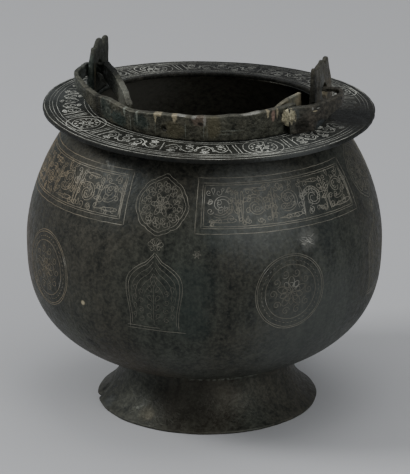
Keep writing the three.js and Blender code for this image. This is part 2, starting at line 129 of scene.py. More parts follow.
# Bail band with its leg, hook and tongue
BAND_THICKNESS = 3.4
BAND_HEIGHT = 15.5
BAND_OVER_MOUTH = 4.0
BAND_LEFT_HEIGHT = 13.0
BAND_NOTCH = 1.7
BAND_NOTCH_ANGLE = math.radians(20.6)
BAND_NOTCH_SPAN = math.radians(15.4)
BAND_FLAT_ANGLE = math.radians(36)
BAND_BROKEN_ANGLE = math.radians(64)
LEG_THICKNESS = 2.5
LEG_TOP = 5.6
LEG_BOTTOM = -1.8
LEG_DRAW = 1.7
HOOK_HEIGHT = 5.6
HOOK_REACH = 0.6
HOOK_BEND = 3.6
TONGUE_HEIGHT = 12.4
TONGUE_TIP_ANGLE = math.radians(24)
TONGUE_BULGE = 1.9
TONGUE_CROWN = 2.0
BAND_HOLE_RADIUS = 1.7
BAND_HOLE_ANGLE = math.radians(-2)
BAND_HOLE_RISE = 5.0

# Repair strap, stump of the broken tongue and solder
STRAP_THICKNESS = 3.0
STRAP_TOP = 3.3
STRAP_LAP_ANGLE = math.radians(57.5)
STRAP_HOOK_REACH = 9.7
STRAP_HOOK_HEIGHT = 2.4
STRAP_HOOK_RISE = 1.0
STRAP_SAG = 0.7
STRAP_LEAD = 1.6
STUMP_THICKNESS = 2.6
STUMP_HEIGHT = 10.0
STUMP_TOP = 1.4
STUMP_RISE = 2.2
STUMP_LENGTH = 25.0
STUMP_ANGLE = math.radians(52)
STUMP_LEAN = math.radians(18.6)
SOLDER_THICKNESS = 2.2
SOLDER_REACH = math.radians(4.03)
SOLDER_SHIFT = math.radians(0.91)
SOLDER_MIDDLE = BAND_HEIGHT * 0.64
SOLDER_RISE = BAND_HEIGHT * 0.36

# Clearances, and how far the bowl's neck reaches into the rim
SEAT_GAP = 0.3
NECK_OVERLAP = 0.15
REST_GAP = 0.55
SWING_CLEARANCE = 0.5

# Engraving on the bowl: four medallions with a niche under each, four shoulder panels and four
# roundels. The panels were set out by eye, so each has its own fit: how far its left and right end sit
# too high, and how far its lower left corner leans out.
ORNAMENT_TURN = math.radians(4.5)
PANEL_EDGE = math.radians(12.9)
PANEL_LOW = 128.6
PANEL_HIGH = 155.8
MEDALLION_HEIGHT = 142.8
MEDALLION_RADIUS = 14.3
NICHE_BASE = 75.2
NICHE_TIP = 118.3
NICHE_HALF_WIDTH = 16.1
ROUNDEL_HEIGHT = 94.3
ROUNDEL_RADIUS = 21.2
FINIAL_HEIGHT = 122.8
PANEL_FITS = [((0.8, -1.6), 1.6), ((0.8, -0.5), 0.0), ((-0.4, 0.7), 1.2), ((-0.4, 2.0), 0.0)]
ROUNDELS = [math.radians(angle) for angle in (47.6, 137.5, -132.0, -41.0)]
NICHE_SHIFT = math.radians(0.8)
ROSETTE_SHIFT = math.radians(12.7)
ROSETTE_HEIGHT = 118.6
ROSETTE_RADIUS = 2.3
FINIAL_SIZE = 3.6
SCUFF = (math.radians(53.8), 121.0)

# Engraving on the rim
RIM_ROUNDELS = [math.radians(angle) for angle in (41.4, -40.5, -136.3, 131.0)]
RIM_ROUNDEL_CENTRE = 77.3
RIM_ROUNDEL_RADIUS = 11.0
RIM_BAND_OUTER = 83.6
RIM_BAND_INNER = 70.4
RIM_LINES = (91.4, 88.6, 86.9, 84.6, 69.3, 67.2)


def length_property(name, description, default, low, high):
    """A length whose default and limits are given in mm."""
    return bpy.props.FloatProperty(
        name=name, description=description, default=default * MM, min=low * MM, max=high * MM, unit="LENGTH"
    )


class PailEngraving(bpy.types.PropertyGroup):
    """Sizes of the engraved lines and of the marks of hammer and file."""

    line_width: length_property("Line width", "Width of the lines on the bowl", 0.46, 0.1, 2)
    rim_line_width: length_property("Rim line width", "Width of the bolder lines on the rim", 0.60, 0.1, 2)
    line_rise: length_property("Line rise", "Height of the lines above the metal", 0.06, 0.01, 0.5)
    forging_depth: length_property(
        "Forging depth", "Depth of the dents left on the bail and the lugs by forging", 0.28, 0, 0.5
    )
    casting_depth: length_property(
        "Casting depth", "Depth of the slow swells in the walls of the bowl, rim and foot", 0.25, 0, 0.6
    )


def colour_property(name, description, default):
    return bpy.props.FloatVectorProperty(
        name=name, description=description, default=default, subtype="COLOR", size=3, min=0, max=1
    )


class PailColours(bpy.types.PropertyGroup):
    """Colours of the patina, the worn metal and the engraved lines."""

    patina_dark: colour_property("Dark patina", "The deepest parts of the patina", (0.008, 0.010, 0.009))
    patina_brown: colour_property("Brown patina", "The warmer clouds in the patina", (0.080, 0.076, 0.059))
    patina_green: colour_property("Green patina", "The cooler clouds in the patina", (0.076, 0.083, 0.067))
    rim_brown: colour_property("Brown rim", "The warmer clouds on the rim", (0.060, 0.056, 0.045))
    rim_green: colour_property("Green rim", "The cooler clouds on the rim", (0.048, 0.056, 0.048))
    bail_brown: colour_property("Brown bail", "The warmer clouds on the bail", (0.155, 0.138, 0.096))
    bail_green: colour_property("Green bail", "The cooler clouds on the bail", (0.096, 0.112, 0.092))
    lug_brown: colour_property("Brown lugs", "The warmer clouds on the lugs", (0.19, 0.165, 0.120))
    lug_green: colour_property("Green lugs", "The cooler clouds on the lugs", (0.075, 0.080, 0.064))
    strap_brown: colour_property("Brown strap", "The warmer clouds on the strap", (0.125, 0.103, 0.082))
    # The stump's tan is partly its own rubbed colour and partly painted light that lifts its shaded face
    stump_tan: colour_property("Tan stump", "The rubbed stump of the tongue", (0.62, 0.57, 0.40))
    worn_metal: colour_property("Worn metal", "Edges and raised places", (0.17, 0.165, 0.135))
    line_grey: colour_property("Grey line", "Most of the engraved lines", (0.31, 0.295, 0.24))
    line_rim: colour_property("Rim line", "The engraved lines on the rim", (0.78, 0.79, 0.71))
    line_tan: colour_property("Tan line", "Warm lines on the left of the bowl", (0.30, 0.235, 0.145))
    solder_pale: colour_property("Solder", "The crumbly solder at the mend", (0.68, 0.63, 0.43))
    floor: colour_property("Floor", "The pale floor and backdrop", (0.585, 0.595, 0.61))


def engraving(name):
    """One of the engraving's sizes in mm."""
    return getattr(bpy.context.scene.pail_engraving, name) / MM


def colour(name):
    return tuple(getattr(bpy.context.scene.pail_colours, name))


# Skins


def lumps(points, size, seed, waves=9):
    """Smooth unevenness at points in mm: the mean of sine waves that run in random directions with
    wavelengths round ``size``. Its values lie between -1 and 1."""
    source = np.random.default_rng(seed)
    directions = source.normal(size=(waves, 3))
    directions /= np.linalg.norm(directions, axis=1)[:, None]
    lengths = size * source.uniform(0.6, 1.6, waves)
    phases = source.uniform(0, FULL_TURN, waves)
    angles = points @ (directions * FULL_TURN / lengths[:, None]).T + phases
    return np.sin(angles).sum(-1) / math.sqrt(waves * 4)


def skin(rings, loop=False, start=None, end=None):
    """Points and faces of a closed skin over rings of points with shape (rings, points, 3). Each ring
    closes on itself. With ``loop`` the last ring joins the first, and without it each end closes on
    one point: the given one, or the middle of the ring."""
    count, size = rings.shape[:2]
    points = rings.reshape(-1, 3)
    row = np.arange(count if loop else count - 1)[:, None] * size
    column = np.arange(size)[None, :]
    after = (column + 1) % size
    above = (row + size) % (count * size)
    quads = np.stack([row + column, row + after, above + after, above + column], -1).reshape(-1, 4)
    fans = np.zeros((0, 3), int)
    if not loop:
        first = rings[0].mean(0) if start is None else np.asarray(start, float)
        last = rings[-1].mean(0) if end is None else np.asarray(end, float)
        points = np.vstack([points, first, last])
        low = np.arange(size)
        low_after = (low + 1) % size
        high = low + (count - 1) * size
        high_after = low_after + (count - 1) * size
        fans = np.vstack([
            np.stack([low_after, low, np.full(size, count * size)], -1),
            np.stack([high, high_after, np.full(size, count * size + 1)], -1),
        ])
    return facing_out(points, quads, fans)


def facing_out(points, quads, fans):
    """Turns all faces round if the volume they enclose comes out negative."""
    halves = np.vstack([quads[:, [0, 1, 2]], quads[:, [0, 2, 3]], fans])
    corners = points[halves]
    volume = (corners[:, 0] * np.cross(corners[:, 1], corners[:, 2])).sum()
    if volume < 0:
        return points, quads[:, ::-1], fans[:, ::-1]
    return points, quads, fans


def joined(skins):
    """One set of points and faces from several."""
    offset = 0
    points, quads, fans = [], [], []
    for part_points, part_quads, part_fans in skins:
        points.append(part_points)
        quads.append(part_quads + offset)
        fans.append(part_fans + offset)
        offset += len(part_points)
    return np.vstack(points), np.vstack(quads), np.vstack(fans)


def make_piece(name, surface, material, body, slot, nodes=(), **values):
    """Puts a skin in mm into a mesh in metres, with its finish, and hangs it on its CAD body. Each of
    the other values is written to its points as an attribute."""
    points, quads, fans = surface
    mesh = bpy.data.meshes.new(name)
    mesh.vertices.add(len(points))
    mesh.vertices.foreach_set("co", (points * MM).astype(np.float32).ravel())
    mesh.loops.add(quads.size + fans.size)
    mesh.loops.foreach_set("vertex_index", np.concatenate([quads.ravel(), fans.ravel()]).astype(np.int32))
    mesh.polygons.add(len(quads) + len(fans))
    starts = np.concatenate([np.arange(len(quads)) * 4, quads.size + np.arange(len(fans)) * 3])
    mesh.polygons.foreach_set("loop_start", starts.astype(np.int32))
    mesh.polygons.foreach_set("use_smooth", np.ones(len(starts), bool))
    mesh.update(calc_edges=True)
    for key, value in values.items():
        shares = np.resize(value, len(points)).astype(np.float32)
        mesh.attributes.new(key, "FLOAT", "POINT").data.foreach_set("value", shares)
    piece = bpy.data.objects.new(name, mesh)
    bpy.context.scene.collection.objects.link(piece)
    mesh.materials.append(material)
    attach(piece, body)
    if nodes:
        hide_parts(*nodes)
    return piece


# Bowl, rim and foot


def bowl_radius(height):
    """A quarter of a rounded square below the belly and another above it."""
    height = np.asarray(height, float)
    below = height < BELLY_HEIGHT
    reach = np.where(below, LOWER_REACH, UPPER_REACH)
    fullness = np.where(below, LOWER_FULLNESS, UPPER_FULLNESS)
    share = np.abs(height - BELLY_HEIGHT) / reach
    return BELLY_RADIUS * np.sqrt(np.maximum(0, 1 - share**fullness))


def bowl_underside(radius):
    """The lower curve of the bowl read the other way: height at a radius."""
    share = np.maximum(0, 1 - (radius / BELLY_RADIUS) ** 2) ** (1 / LOWER_FULLNESS)
    return BELLY_HEIGHT - LOWER_REACH * share


def slope_normal(radius, height):
    """Outward normal of a profile that runs upwards along the last axis, as radial and upward parts."""
    along_radius = np.gradient(radius, axis=-1)
    along_height = np.gradient(height, axis=-1)
    length = np.hypot(along_radius, along_height) + 1e-12
    return along_height / length, -along_radius / length


def round_points(radius, height, turn):
    """Points at a radius and height, at an angle from the front, -Y, towards +X."""
    return np.stack([radius * np.sin(turn), -radius * np.cos(turn), height + 0 * turn], -1)


def on_all_columns(parts, columns):
    """Lays the runs of a section, each a pair of radius and height, end to end for every column."""
    radius = np.concatenate([np.broadcast_to(part[0], (columns, part[1].shape[-1])) for part in parts], 1)
    height = np.concatenate([np.broadcast_to(part[1], (columns, part[1].shape[-1])) for part in parts], 1)
    return radius, height


def lumps_round(radius, turn, size, seed):
    """The same unevenness along a circle, for the angles in a column."""
    return lumps(round_points(radius, 0.0, turn[:, 0]), size, seed)[:, None]


def bowl_swell(points):
    """How far the cast wall swells out, in mm: long soft waves."""
    return engraving("casting_depth") * (0.7 * lumps(points, 90, 11) + 0.3 * lumps(points, 34, 12))


def rim_swell(points):
    """How far the cast rim's faces lie too high, in mm."""
    return 0.5 * engraving("casting_depth") * lumps(points * [1, 1, 0], 40, 23)


def rim_top(radius):
    """The rim's top falls evenly from the mouth to the edge."""
    return RIM_EDGE_HEIGHT + RIM_FALL * (RIM_RADIUS - radius) / (RIM_RADIUS - MOUTH_RADIUS)


def rim_rise(angle):
    """Rise of the warped rim at an angle counted from +X."""
    return RIM_WARP * np.cos(2 * (angle - LEAN_ANGLE))


def rim_drop(radius, angle):
    """Drop of the dipped rim at a radius and an angle counted from +X."""
    return radius * np.cos(angle - LEAN_ANGLE) * math.sin(RIM_DIP)


def settled(points):
    """Moves points made square on the Z axis to the rim's real place: warped, dipped and shifted."""
    x, y, z = points[..., 0], points[..., 1], points[..., 2]
    share = np.minimum(1, np.hypot(x, y) / MOUTH_RADIUS)
    z = z + share * rim_rise(np.arctan2(y, x)) - RIM_EDGE_HEIGHT
    along = x * LEAN[0] + y * LEAN[1]
    aside = y * LEAN[0] - x * LEAN[1]
    turned = along * math.cos(RIM_DIP) + z * math.sin(RIM_DIP) + RIM_LEAN
    height = z * math.cos(RIM_DIP) - along * math.sin(RIM_DIP) + RIM_EDGE_HEIGHT
    return np.stack([turned * LEAN[0] - aside * LEAN[1], turned * LEAN[1] + aside * LEAN[0], height], -1)


def bowl_top(turn):
    """Height where the bowl meets the rim's underside, at an angle from the front."""
    radius = MOUTH_RADIUS + NECK_OVER_MOUTH
    x = radius * np.sin(turn) - RIM_LEAN * LEAN[0]
    y = -radius * np.cos(turn) - RIM_LEAN * LEAN[1]
    around = np.arctan2(y, x)
    distance = np.hypot(x, y)
    return rim_top(distance) - RIM_THICKNESS + rim_rise(around) - rim_drop(distance, around) + NECK_OVERLAP


def bowl_skin(columns=300):
    """The bowl's curve turned about the Z axis, up the outside to the rim and down the inside."""
    turn = np.linspace(0, FULL_TURN, columns, endpoint=False)[:, None]
    tilt = (1 - (1 - np.linspace(0.015, 1, 52)) ** 1.5) * math.pi / 2
    low = BELLY_HEIGHT - LOWER_REACH * np.cos(tilt[:-1]) ** (2 / LOWER_FULLNESS)
    share = np.linspace(0, 1, 60)

    def curve(top):
        heights = BELLY_HEIGHT + (top - BELLY_HEIGHT) * share
        low_radius = np.broadcast_to(BELLY_RADIUS * np.sin(tilt[:-1]), (columns, len(low)))
        low_height = np.broadcast_to(low, (columns, len(low)))
        radius = np.concatenate([low_radius, bowl_radius(heights)], 1)
        return radius, np.concatenate([low_height, heights], 1)

    radius, height = curve(bowl_top(turn))
    outside = round_points(radius, height, turn)
    out, up = slope_normal(radius, height)
    normal = round_points(out, up, turn)
    outside = outside + normal * bowl_swell(outside)[..., None]
    radius, height = curve(bowl_top(turn) + BOWL_WALL * INNER_NECK_RISE)
    out, up = slope_normal(radius, height)
    inside = round_points(radius - BOWL_WALL * out, height - BOWL_WALL * up, turn)
    rings = np.concatenate([outside, inside[:, ::-1]], 1).transpose(1, 0, 2)
    is_inner = np.repeat(np.arange(len(rings)) >= len(outside[0]), columns).astype(float)
    inner = np.append(is_inner, [0.0, 1.0])
    return skin(rings, start=(0, 0, BOWL_LIFT), end=(0, 0, BOWL_LIFT + BOWL_WALL)), inner


def rim_skin(columns=360):
    """A flat section with rounded edges carried round the axis, then warped, dipped and shifted. Returns
    the skin, its wear, and 1 for the points of its outer edge face."""
    turn = np.linspace(0, FULL_TURN, columns, endpoint=False)[:, None]
    soft = RIM_EDGE_ROUND
    bend = np.linspace(-math.pi / 2, math.pi / 2, 9)
    across = np.linspace(0, 1, 34)
    outer = RIM_RADIUS + np.minimum(0.35 * lumps_round(90.0, turn, 9, 21), 0.1)
    inner = MOUTH_RADIUS + 0.15 * lumps_round(60.0, turn, 14, 22)
    half = RIM_THICKNESS / 2 - soft
    edge = rim_top(RIM_RADIUS) - RIM_THICKNESS / 2
    under = inner + soft + (outer - inner - 2 * soft) * across
    parts = [
        (under, rim_top(under) - RIM_THICKNESS),
        (outer - soft + soft * np.cos(bend), edge + half * np.sign(bend) + soft * np.sin(bend)),
        (under[:, ::-1], rim_top(under[:, ::-1])),
        (inner + soft - soft * np.cos(bend), edge + RIM_FALL - half * np.sign(bend) - soft * np.sin(bend)),
    ]
    radius, height = on_all_columns(parts, columns)
    points = round_points(radius, height, turn)
    points[..., 2] += rim_swell(points)
    steps, bends = len(across), len(bend)
    on_top = np.concatenate([np.zeros(steps + bends - 1), np.ones(steps + 2), np.zeros(bends - 1)])
    on_edge = np.concatenate([np.zeros(steps), np.ones(bends - 2), np.zeros(steps + bends + 2)])
    worn = np.maximum(1 - np.abs(radius - RIM_RADIUS) / 1.1, 1 - np.abs(radius - MOUTH_RADIUS) / 0.9)
    wear = np.clip(worn, 0, 1) * on_top
    edge_face = np.broadcast_to(on_edge, radius.shape)
    return skin(settled(points), loop=True), wear.reshape(-1), edge_face.reshape(-1)


def foot_skin(columns=260):
    """A hollow flare, a power of the height, turned about the foot's own axis, from the ground up the
    outside to the bowl and down the inside."""
    turn = np.linspace(0, FULL_TURN, columns, endpoint=False)[:, None]
    top = bowl_underside(WAIST_RADIUS) + FOOT_OVERRUN

    def flare(share):
        radius = WAIST_RADIUS + (FOOT_RADIUS - WAIST_RADIUS) * (1 - share) ** FOOT_FLARE
        return radius, FOOT_EDGE_HEIGHT + (top - FOOT_EDGE_HEIGHT) * share

    fine = np.linspace(0, 1, 400)
    radius, height = flare(fine)
    out, up = slope_normal(radius, height)
    inner_radius, inner_height = radius - FOOT_WALL * out, height - FOOT_WALL * up
    centre = FOOT_LEAN * LEAN[:2]

    def stops(curve_radius, curve_height, first, count):
        steps = first + (1 - first) * np.linspace(0, 1, count) ** 1.15
        far = np.interp(1.0, fine, curve_radius)
        x = far * np.sin(turn) + centre[0]
        y = -far * np.cos(turn) + centre[1]
        end = bowl_underside(np.hypot(x, y)) + 1.0
        last = np.interp(end, curve_height, fine)
        return first + (last - first) * (steps - first) / (1 - first)

    outer_steps = stops(radius, height, 0.0, 44)
    through = np.interp(0, inner_height, fine)
    inner_steps = stops(inner_radius, inner_height, through, 30)[:, ::-1]
    from_nick = (turn - FOOT_NICK_ANGLE + math.pi) % FULL_TURN - math.pi
    nick = FOOT_NICK_DEPTH * np.exp(-((from_nick / FOOT_NICK_WIDTH) ** 2))
    edge = FOOT_RADIUS + 0.3 * lumps_round(62.0, turn, 16, 31) - nick
    soft = np.array([-1.0, -0.55, -0.2, 0.0])
    rounding = np.array([0.0, 0.08, 0.3, 0.6])
    outer_height = np.interp(outer_steps, fine, height)
    cove = FOOT_COVE * np.exp((outer_height - outer_height[:, -1:]) / FOOT_COVE_REACH)
    outer_radius = np.interp(outer_steps, fine, radius) + cove
    inner_height = np.maximum(0, np.interp(inner_steps, fine, inner_height))
    radius, height = on_all_columns([
        (edge + soft * 0.5, rounding + 0 * edge),
        (outer_radius - (FOOT_RADIUS - edge) * (1 - outer_steps) ** 6, outer_height),
        (np.interp(inner_steps, fine, inner_radius), inner_height),
    ], columns)
    points = round_points(radius, height, turn) + FOOT_LEAN * LEAN
    worn = np.clip(1 - height / 2.2, 0, 1) * np.clip((radius - FOOT_RADIUS + 4) / 3, 0, 1)
    worn = np.maximum(worn, 0.5 * np.clip((radius - FOOT_RADIUS + 3) / 3, 0, 1))
    return skin(points, loop=True), worn.reshape(-1)


# Lugs


def spaced(line, count, endpoint=True):
    """The same flat line as points evenly spaced along it."""
    walked = np.concatenate([[0], np.cumsum(np.linalg.norm(np.diff(line, axis=0), axis=1))])
    even = np.linspace(0, walked[-1], count, endpoint=endpoint)
    return np.stack([np.interp(even, walked, line[:, 0]), np.interp(even, walked, line[:, 1])], -1)


def lug_base(lug):
    """Height where a lug stands on the dipped and warped rim."""
    toward = 0 if lug["side"] > 0 else math.pi
    return rim_top(LUG_INNER) + RIM_WARP - rim_drop(LUG_OUTER, toward) + SEAT_GAP


def lug_prongs(lug):
    """Centres of the front and the back prong, from the rim's centre and the rim's edge."""
    front = -lug["front"] + lug["front_draw"] + FRONT_PRONG_RADIUS
    back = lug["back"] - lug["back_draw"] - BACK_PRONG_RADIUS
    return (
        (front, lug["rise"] - lug["front_drop"] - FRONT_PRONG_RADIUS),
        (back, lug["rise"] - lug["back_drop"] - BACK_PRONG_RADIUS),
    )


def lug_outline(lug, floor, count=300):
    """Sides that draw in towards three rounded prongs, as points evenly spaced along the line."""
    height = lug["rise"] - floor
    (front_x, front_y), (back_x, back_y) = lug_prongs(lug)
    share = np.linspace(0, 1, 30)[:, None]

    def bow(start, middle, end):
        start, middle, end = np.array(start), np.array(middle), np.array(end)
        return start * (1 - share) ** 2 + middle * 2 * share * (1 - share) + end * share**2

    def prong(x, y, radius, end):
        return np.array([x, y]) + radius * np.hstack([np.cos(end * share), np.sin(end * share)])

    front, back, middle = lug["front"], lug["back"], lug["middle_radius"]
    shoulder = height * LUG_SHOULDER
    line = np.vstack([
        [[-front, 0.0]],
        bow((back, 0), (back, shoulder), (back_x + BACK_PRONG_RADIUS, back_y - floor)),
        prong(back_x, back_y - floor, BACK_PRONG_RADIUS, math.pi),
        prong(lug["middle_shift"], height - middle, middle, math.pi - PRONG_SLOPE),
        prong(front_x, front_y - floor, FRONT_PRONG_RADIUS, math.pi),
        bow((front_x - FRONT_PRONG_RADIUS, front_y - floor), (-front, shoulder), (-front, 0)),
    ])
    return spaced(line, count, endpoint=False)


def lug_skin(lug):
    """A plate with a hole: lines run from the hole's edge to the outline on both faces, and round the
    two edges between the faces, so the whole skin is one loop of loops."""
    side = lug["side"]
    base = lug_base(lug)
    height = lug["rise"] + RIM_EDGE_HEIGHT - base
    hole = np.array([-HINGE_AHEAD, HINGE_HEIGHT - base])
    outline = lug_outline(lug, base - RIM_EDGE_HEIGHT)
    walk = np.roll(outline, -1, 0) - np.roll(outline, 1, 0)
    inward = np.stack([-walk[:, 1], walk[:, 0]], -1)
    inward /= np.linalg.norm(inward, axis=1)[:, None]
    soft, hole_soft = LUG_ROUND, HOLE_ROUND
    edge = outline + inward * soft
    heading = np.unwrap(np.arctan2(*(outline - hole).T[::-1]))
    heading = np.maximum.accumulate(heading)
    ray = np.stack([np.cos(heading), np.sin(heading)], -1)
    bore = hole + ray * (HINGE_HOLE_RADIUS + hole_soft)
    reach = np.linalg.norm(edge - bore, axis=1)[:, None]
    first = bore + ray * reach / 3
    second = edge + inward * 0.4 - ray * reach / 4
    share = np.linspace(0, 1, 13)[:, None, None]
    face = (
        bore * (1 - share) ** 3
        + first * 3 * share * (1 - share) ** 2
        + second * 3 * share**2 * (1 - share)
        + edge * share**3
    )
    bend = np.linspace(0, math.pi, 9)[1:-1, None, None]
    rim = edge - inward * soft * np.sin(bend)
    bore_rim = bore - ray * hole_soft * np.sin(bend)
    plane = np.concatenate([face, rim, face[::-1], bore_rim])
    swing = np.cos(bend[:, 0, 0])
    flat = np.ones(len(face))
    depth_share = np.concatenate([flat, (1 + swing) / 2, 0 * flat, (1 - swing) / 2])
    thin = LUG_TAPER * LUG_THICKNESS * plane[..., 1] / height
    depth = thin + (LUG_THICKNESS - thin) * depth_share[:, None]
    x = depth + (LUG_INNER if side > 0 else -LUG_OUTER) + RIM_LEAN * LEAN[0]
    y = plane[..., 0] + RIM_LEAN * LEAN[1]
    z = plane[..., 1] + base
    z = z - np.where(plane[..., 1] < 0.8, 0.55, 0)
    points = np.stack([x, y, z], -1)
    dents = engraving("forging_depth")
    points[..., 0] += dents * 0.8 * lumps(points, 11, 40 + side)
    points[..., 1] += dents * lumps(points, 9, 44 + side)
    rounded = np.zeros(len(plane))
    rounded[len(face) - 2:len(face) + len(rim) + 2] = 1
    wear = np.broadcast_to(rounded[:, None], plane.shape[:2]) * np.clip(plane[..., 1] / height, 0, 1)
    return skin(points, loop=True), wear.reshape(-1)


# Bail


def rest_height(radius, angle):
    """Height that a strip rests at, at a radius and an angle from the front."""
    around = angle - math.pi / 2
    return rim_top(radius) + rim_rise(around) - rim_drop(radius, around) + REST_GAP


ARCH_OUTER = MOUTH_RADIUS + BAND_OVER_MOUTH
ARCH_CENTRE = ARCH_OUTER - BAND_THICKNESS / 2
ARCH_INNER = ARCH_OUTER - BAND_THICKNESS
BAIL_SLOPE = math.asin(
    (HINGE_HEIGHT - rest_height(ARCH_INNER, 0)) / math.hypot(ARCH_INNER - HINGE_AHEAD, BAND_HEIGHT / 2)
) - math.atan2(BAND_HEIGHT / 2, ARCH_INNER - HINGE_AHEAD)


def resting_edge(radius, angle):
    """Lower edge, in the bail's own frame, of a strip that rests on the rim."""
    ahead = radius * math.cos(angle) - HINGE_AHEAD
    sunk = rest_height(radius, angle) - HINGE_HEIGHT + ahead * math.sin(BAIL_SLOPE)
    return sunk / math.cos(BAIL_SLOPE)


def on_arch(radius, angle, thickness, top, bottom):
    """A place on a strip's route: X, Y, thickness, top and bottom, on an arch round the rim's centre."""
    return [radius * math.sin(angle), HINGE_AHEAD - radius * math.cos(angle), thickness, top, bottom]


def smoothstep(value, low, high):
    share = np.clip((value - low) / (high - low), 0, 1)
    return share * share * (3 - 2 * share)


def between(first, second, share):
    return first + (second - first) * share


def lug_sweep(lug):
    """Furthest that a lug reaches from the hinge axis."""
    axis = (-HINGE_AHEAD, HINGE_RISE)
    floor = lug_base(lug) - RIM_EDGE_HEIGHT
    front, back = lug_prongs(lug)
    return SWING_CLEARANCE + max(
        math.dist(axis, (-lug["front"], floor)),
        math.dist(axis, (lug["back"], floor)),
        math.dist(axis, front) + FRONT_PRONG_RADIUS,
        math.dist(axis, back) + BACK_PRONG_RADIUS,
    )


def leg_place(lug, thickness, lead=0.0):
    """Where a leg passes a lug: its X and Y from the hinge, and its angle and radius on the arch."""
    x = LUG_OUTER + SWING_CLEARANCE + thickness / 2
    y = lug_sweep(LUGS[lug]) + lead
    return x, y, math.atan2(x, y + HINGE_AHEAD), math.hypot(x, y + HINGE_AHEAD)


def smooth_route(places, steps):
    """A centripetal Catmull-Rom curve through the places, with ``steps`` rows to a span. Its edges run
    straight from place to place."""
    places = np.array(places, float)
    core = places[:, :3]
    knots = np.vstack([2 * core[0] - core[1], core, 2 * core[-1] - core[-2]])
    gap = np.sqrt(np.linalg.norm(np.diff(knots, axis=0), axis=1))[:, None]
    p0, p1, p2, p3 = knots[:-3], knots[1:-2], knots[2:-1], knots[3:]
    g0, g1, g2 = gap[:-2], gap[1:-1], gap[2:]
    leave = ((p1 - p0) / g0 - (p2 - p0) / (g0 + g1) + (p2 - p1) / g1) * g1
    arrive = ((p2 - p1) / g1 - (p3 - p1) / (g1 + g2) + (p3 - p2) / g2) * g1
    w = np.arange(steps)[None, :, None] / steps
    a, b, c, d = p1[:, None], leave[:, None], p2[:, None], arrive[:, None]
    rise = 3 * w**2 - 2 * w**3
    curve = (a * (1 - rise) + b * (w**3 - 2 * w**2 + w) + c * rise + d * (w**3 - w**2)).reshape(-1, 3)
    edges = (places[:-1, None, 3:] * (1 - w) + places[1:, None, 3:] * w).reshape(-1, 2)
    return np.vstack([np.hstack([curve, edges]), places[-1]])


def strip_frame(route):
    """Sideways unit vectors of a route, square to its way, in the bail's XY plane."""
    way = np.gradient(route[:, :2], axis=0)
    way /= np.linalg.norm(way, axis=1)[:, None]
    return way, np.stack([-way[:, 1], way[:, 0]], -1)


def bail_place(points):
    """From the bail's own frame to where it lies: tilted down at the front about the hinge."""
    x, y, z = points[..., 0], points[..., 1], points[..., 2]
    across = y * math.cos(BAIL_SLOPE) - z * math.sin(BAIL_SLOPE)
    height = y * math.sin(BAIL_SLOPE) + z * math.cos(BAIL_SLOPE)
    return np.stack([
        x + RIM_LEAN * LEAN[0], across - HINGE_AHEAD + RIM_LEAN * LEAN[1], height + HINGE_HEIGHT
    ], -1)


def bail_spots(surface):
    """Where each point of the bail is: its angle from the front in degrees, its height over the rim in
    mm, and 1 if it belongs to the inner side of the arch."""
    points = surface[0]
    x = points[:, 0] - RIM_LEAN * LEAN[0]
    y = points[:, 1] - RIM_LEAN * LEAN[1]
    turn = np.arctan2(x, -y)
    return {
        "across": np.degrees(turn),
        "high": points[:, 2] - rest_height(ARCH_INNER, turn),
        "inner": np.clip(ARCH_CENTRE - np.hypot(x, y), 0, 1),
    }


def section(face_steps, edge_steps, bend_steps=4):
    """A rectangle with rounded corners, as columns: side, height share, and outward direction."""
    bend = np.linspace(0, math.pi / 2, bend_steps + 2)[1:-1]
    face = np.linspace(0, 1, face_steps)
    edge = np.linspace(1, -1, edge_steps)
    rows = []
    for flip in (1, -1):
        level = (1 + flip) / 2
        for side, height, out, up in (
            (flip, face if flip > 0 else 1 - face, flip, 0),
            (flip, level, flip * np.cos(bend), flip * np.sin(bend)),
            (flip * edge, level, 0, flip),
            (-flip, level, -flip * np.sin(bend), flip * np.cos(bend)),
        ):
            rows.append(np.stack(np.broadcast_arrays(side, height, out, up), -1))
    return np.vstack(rows)


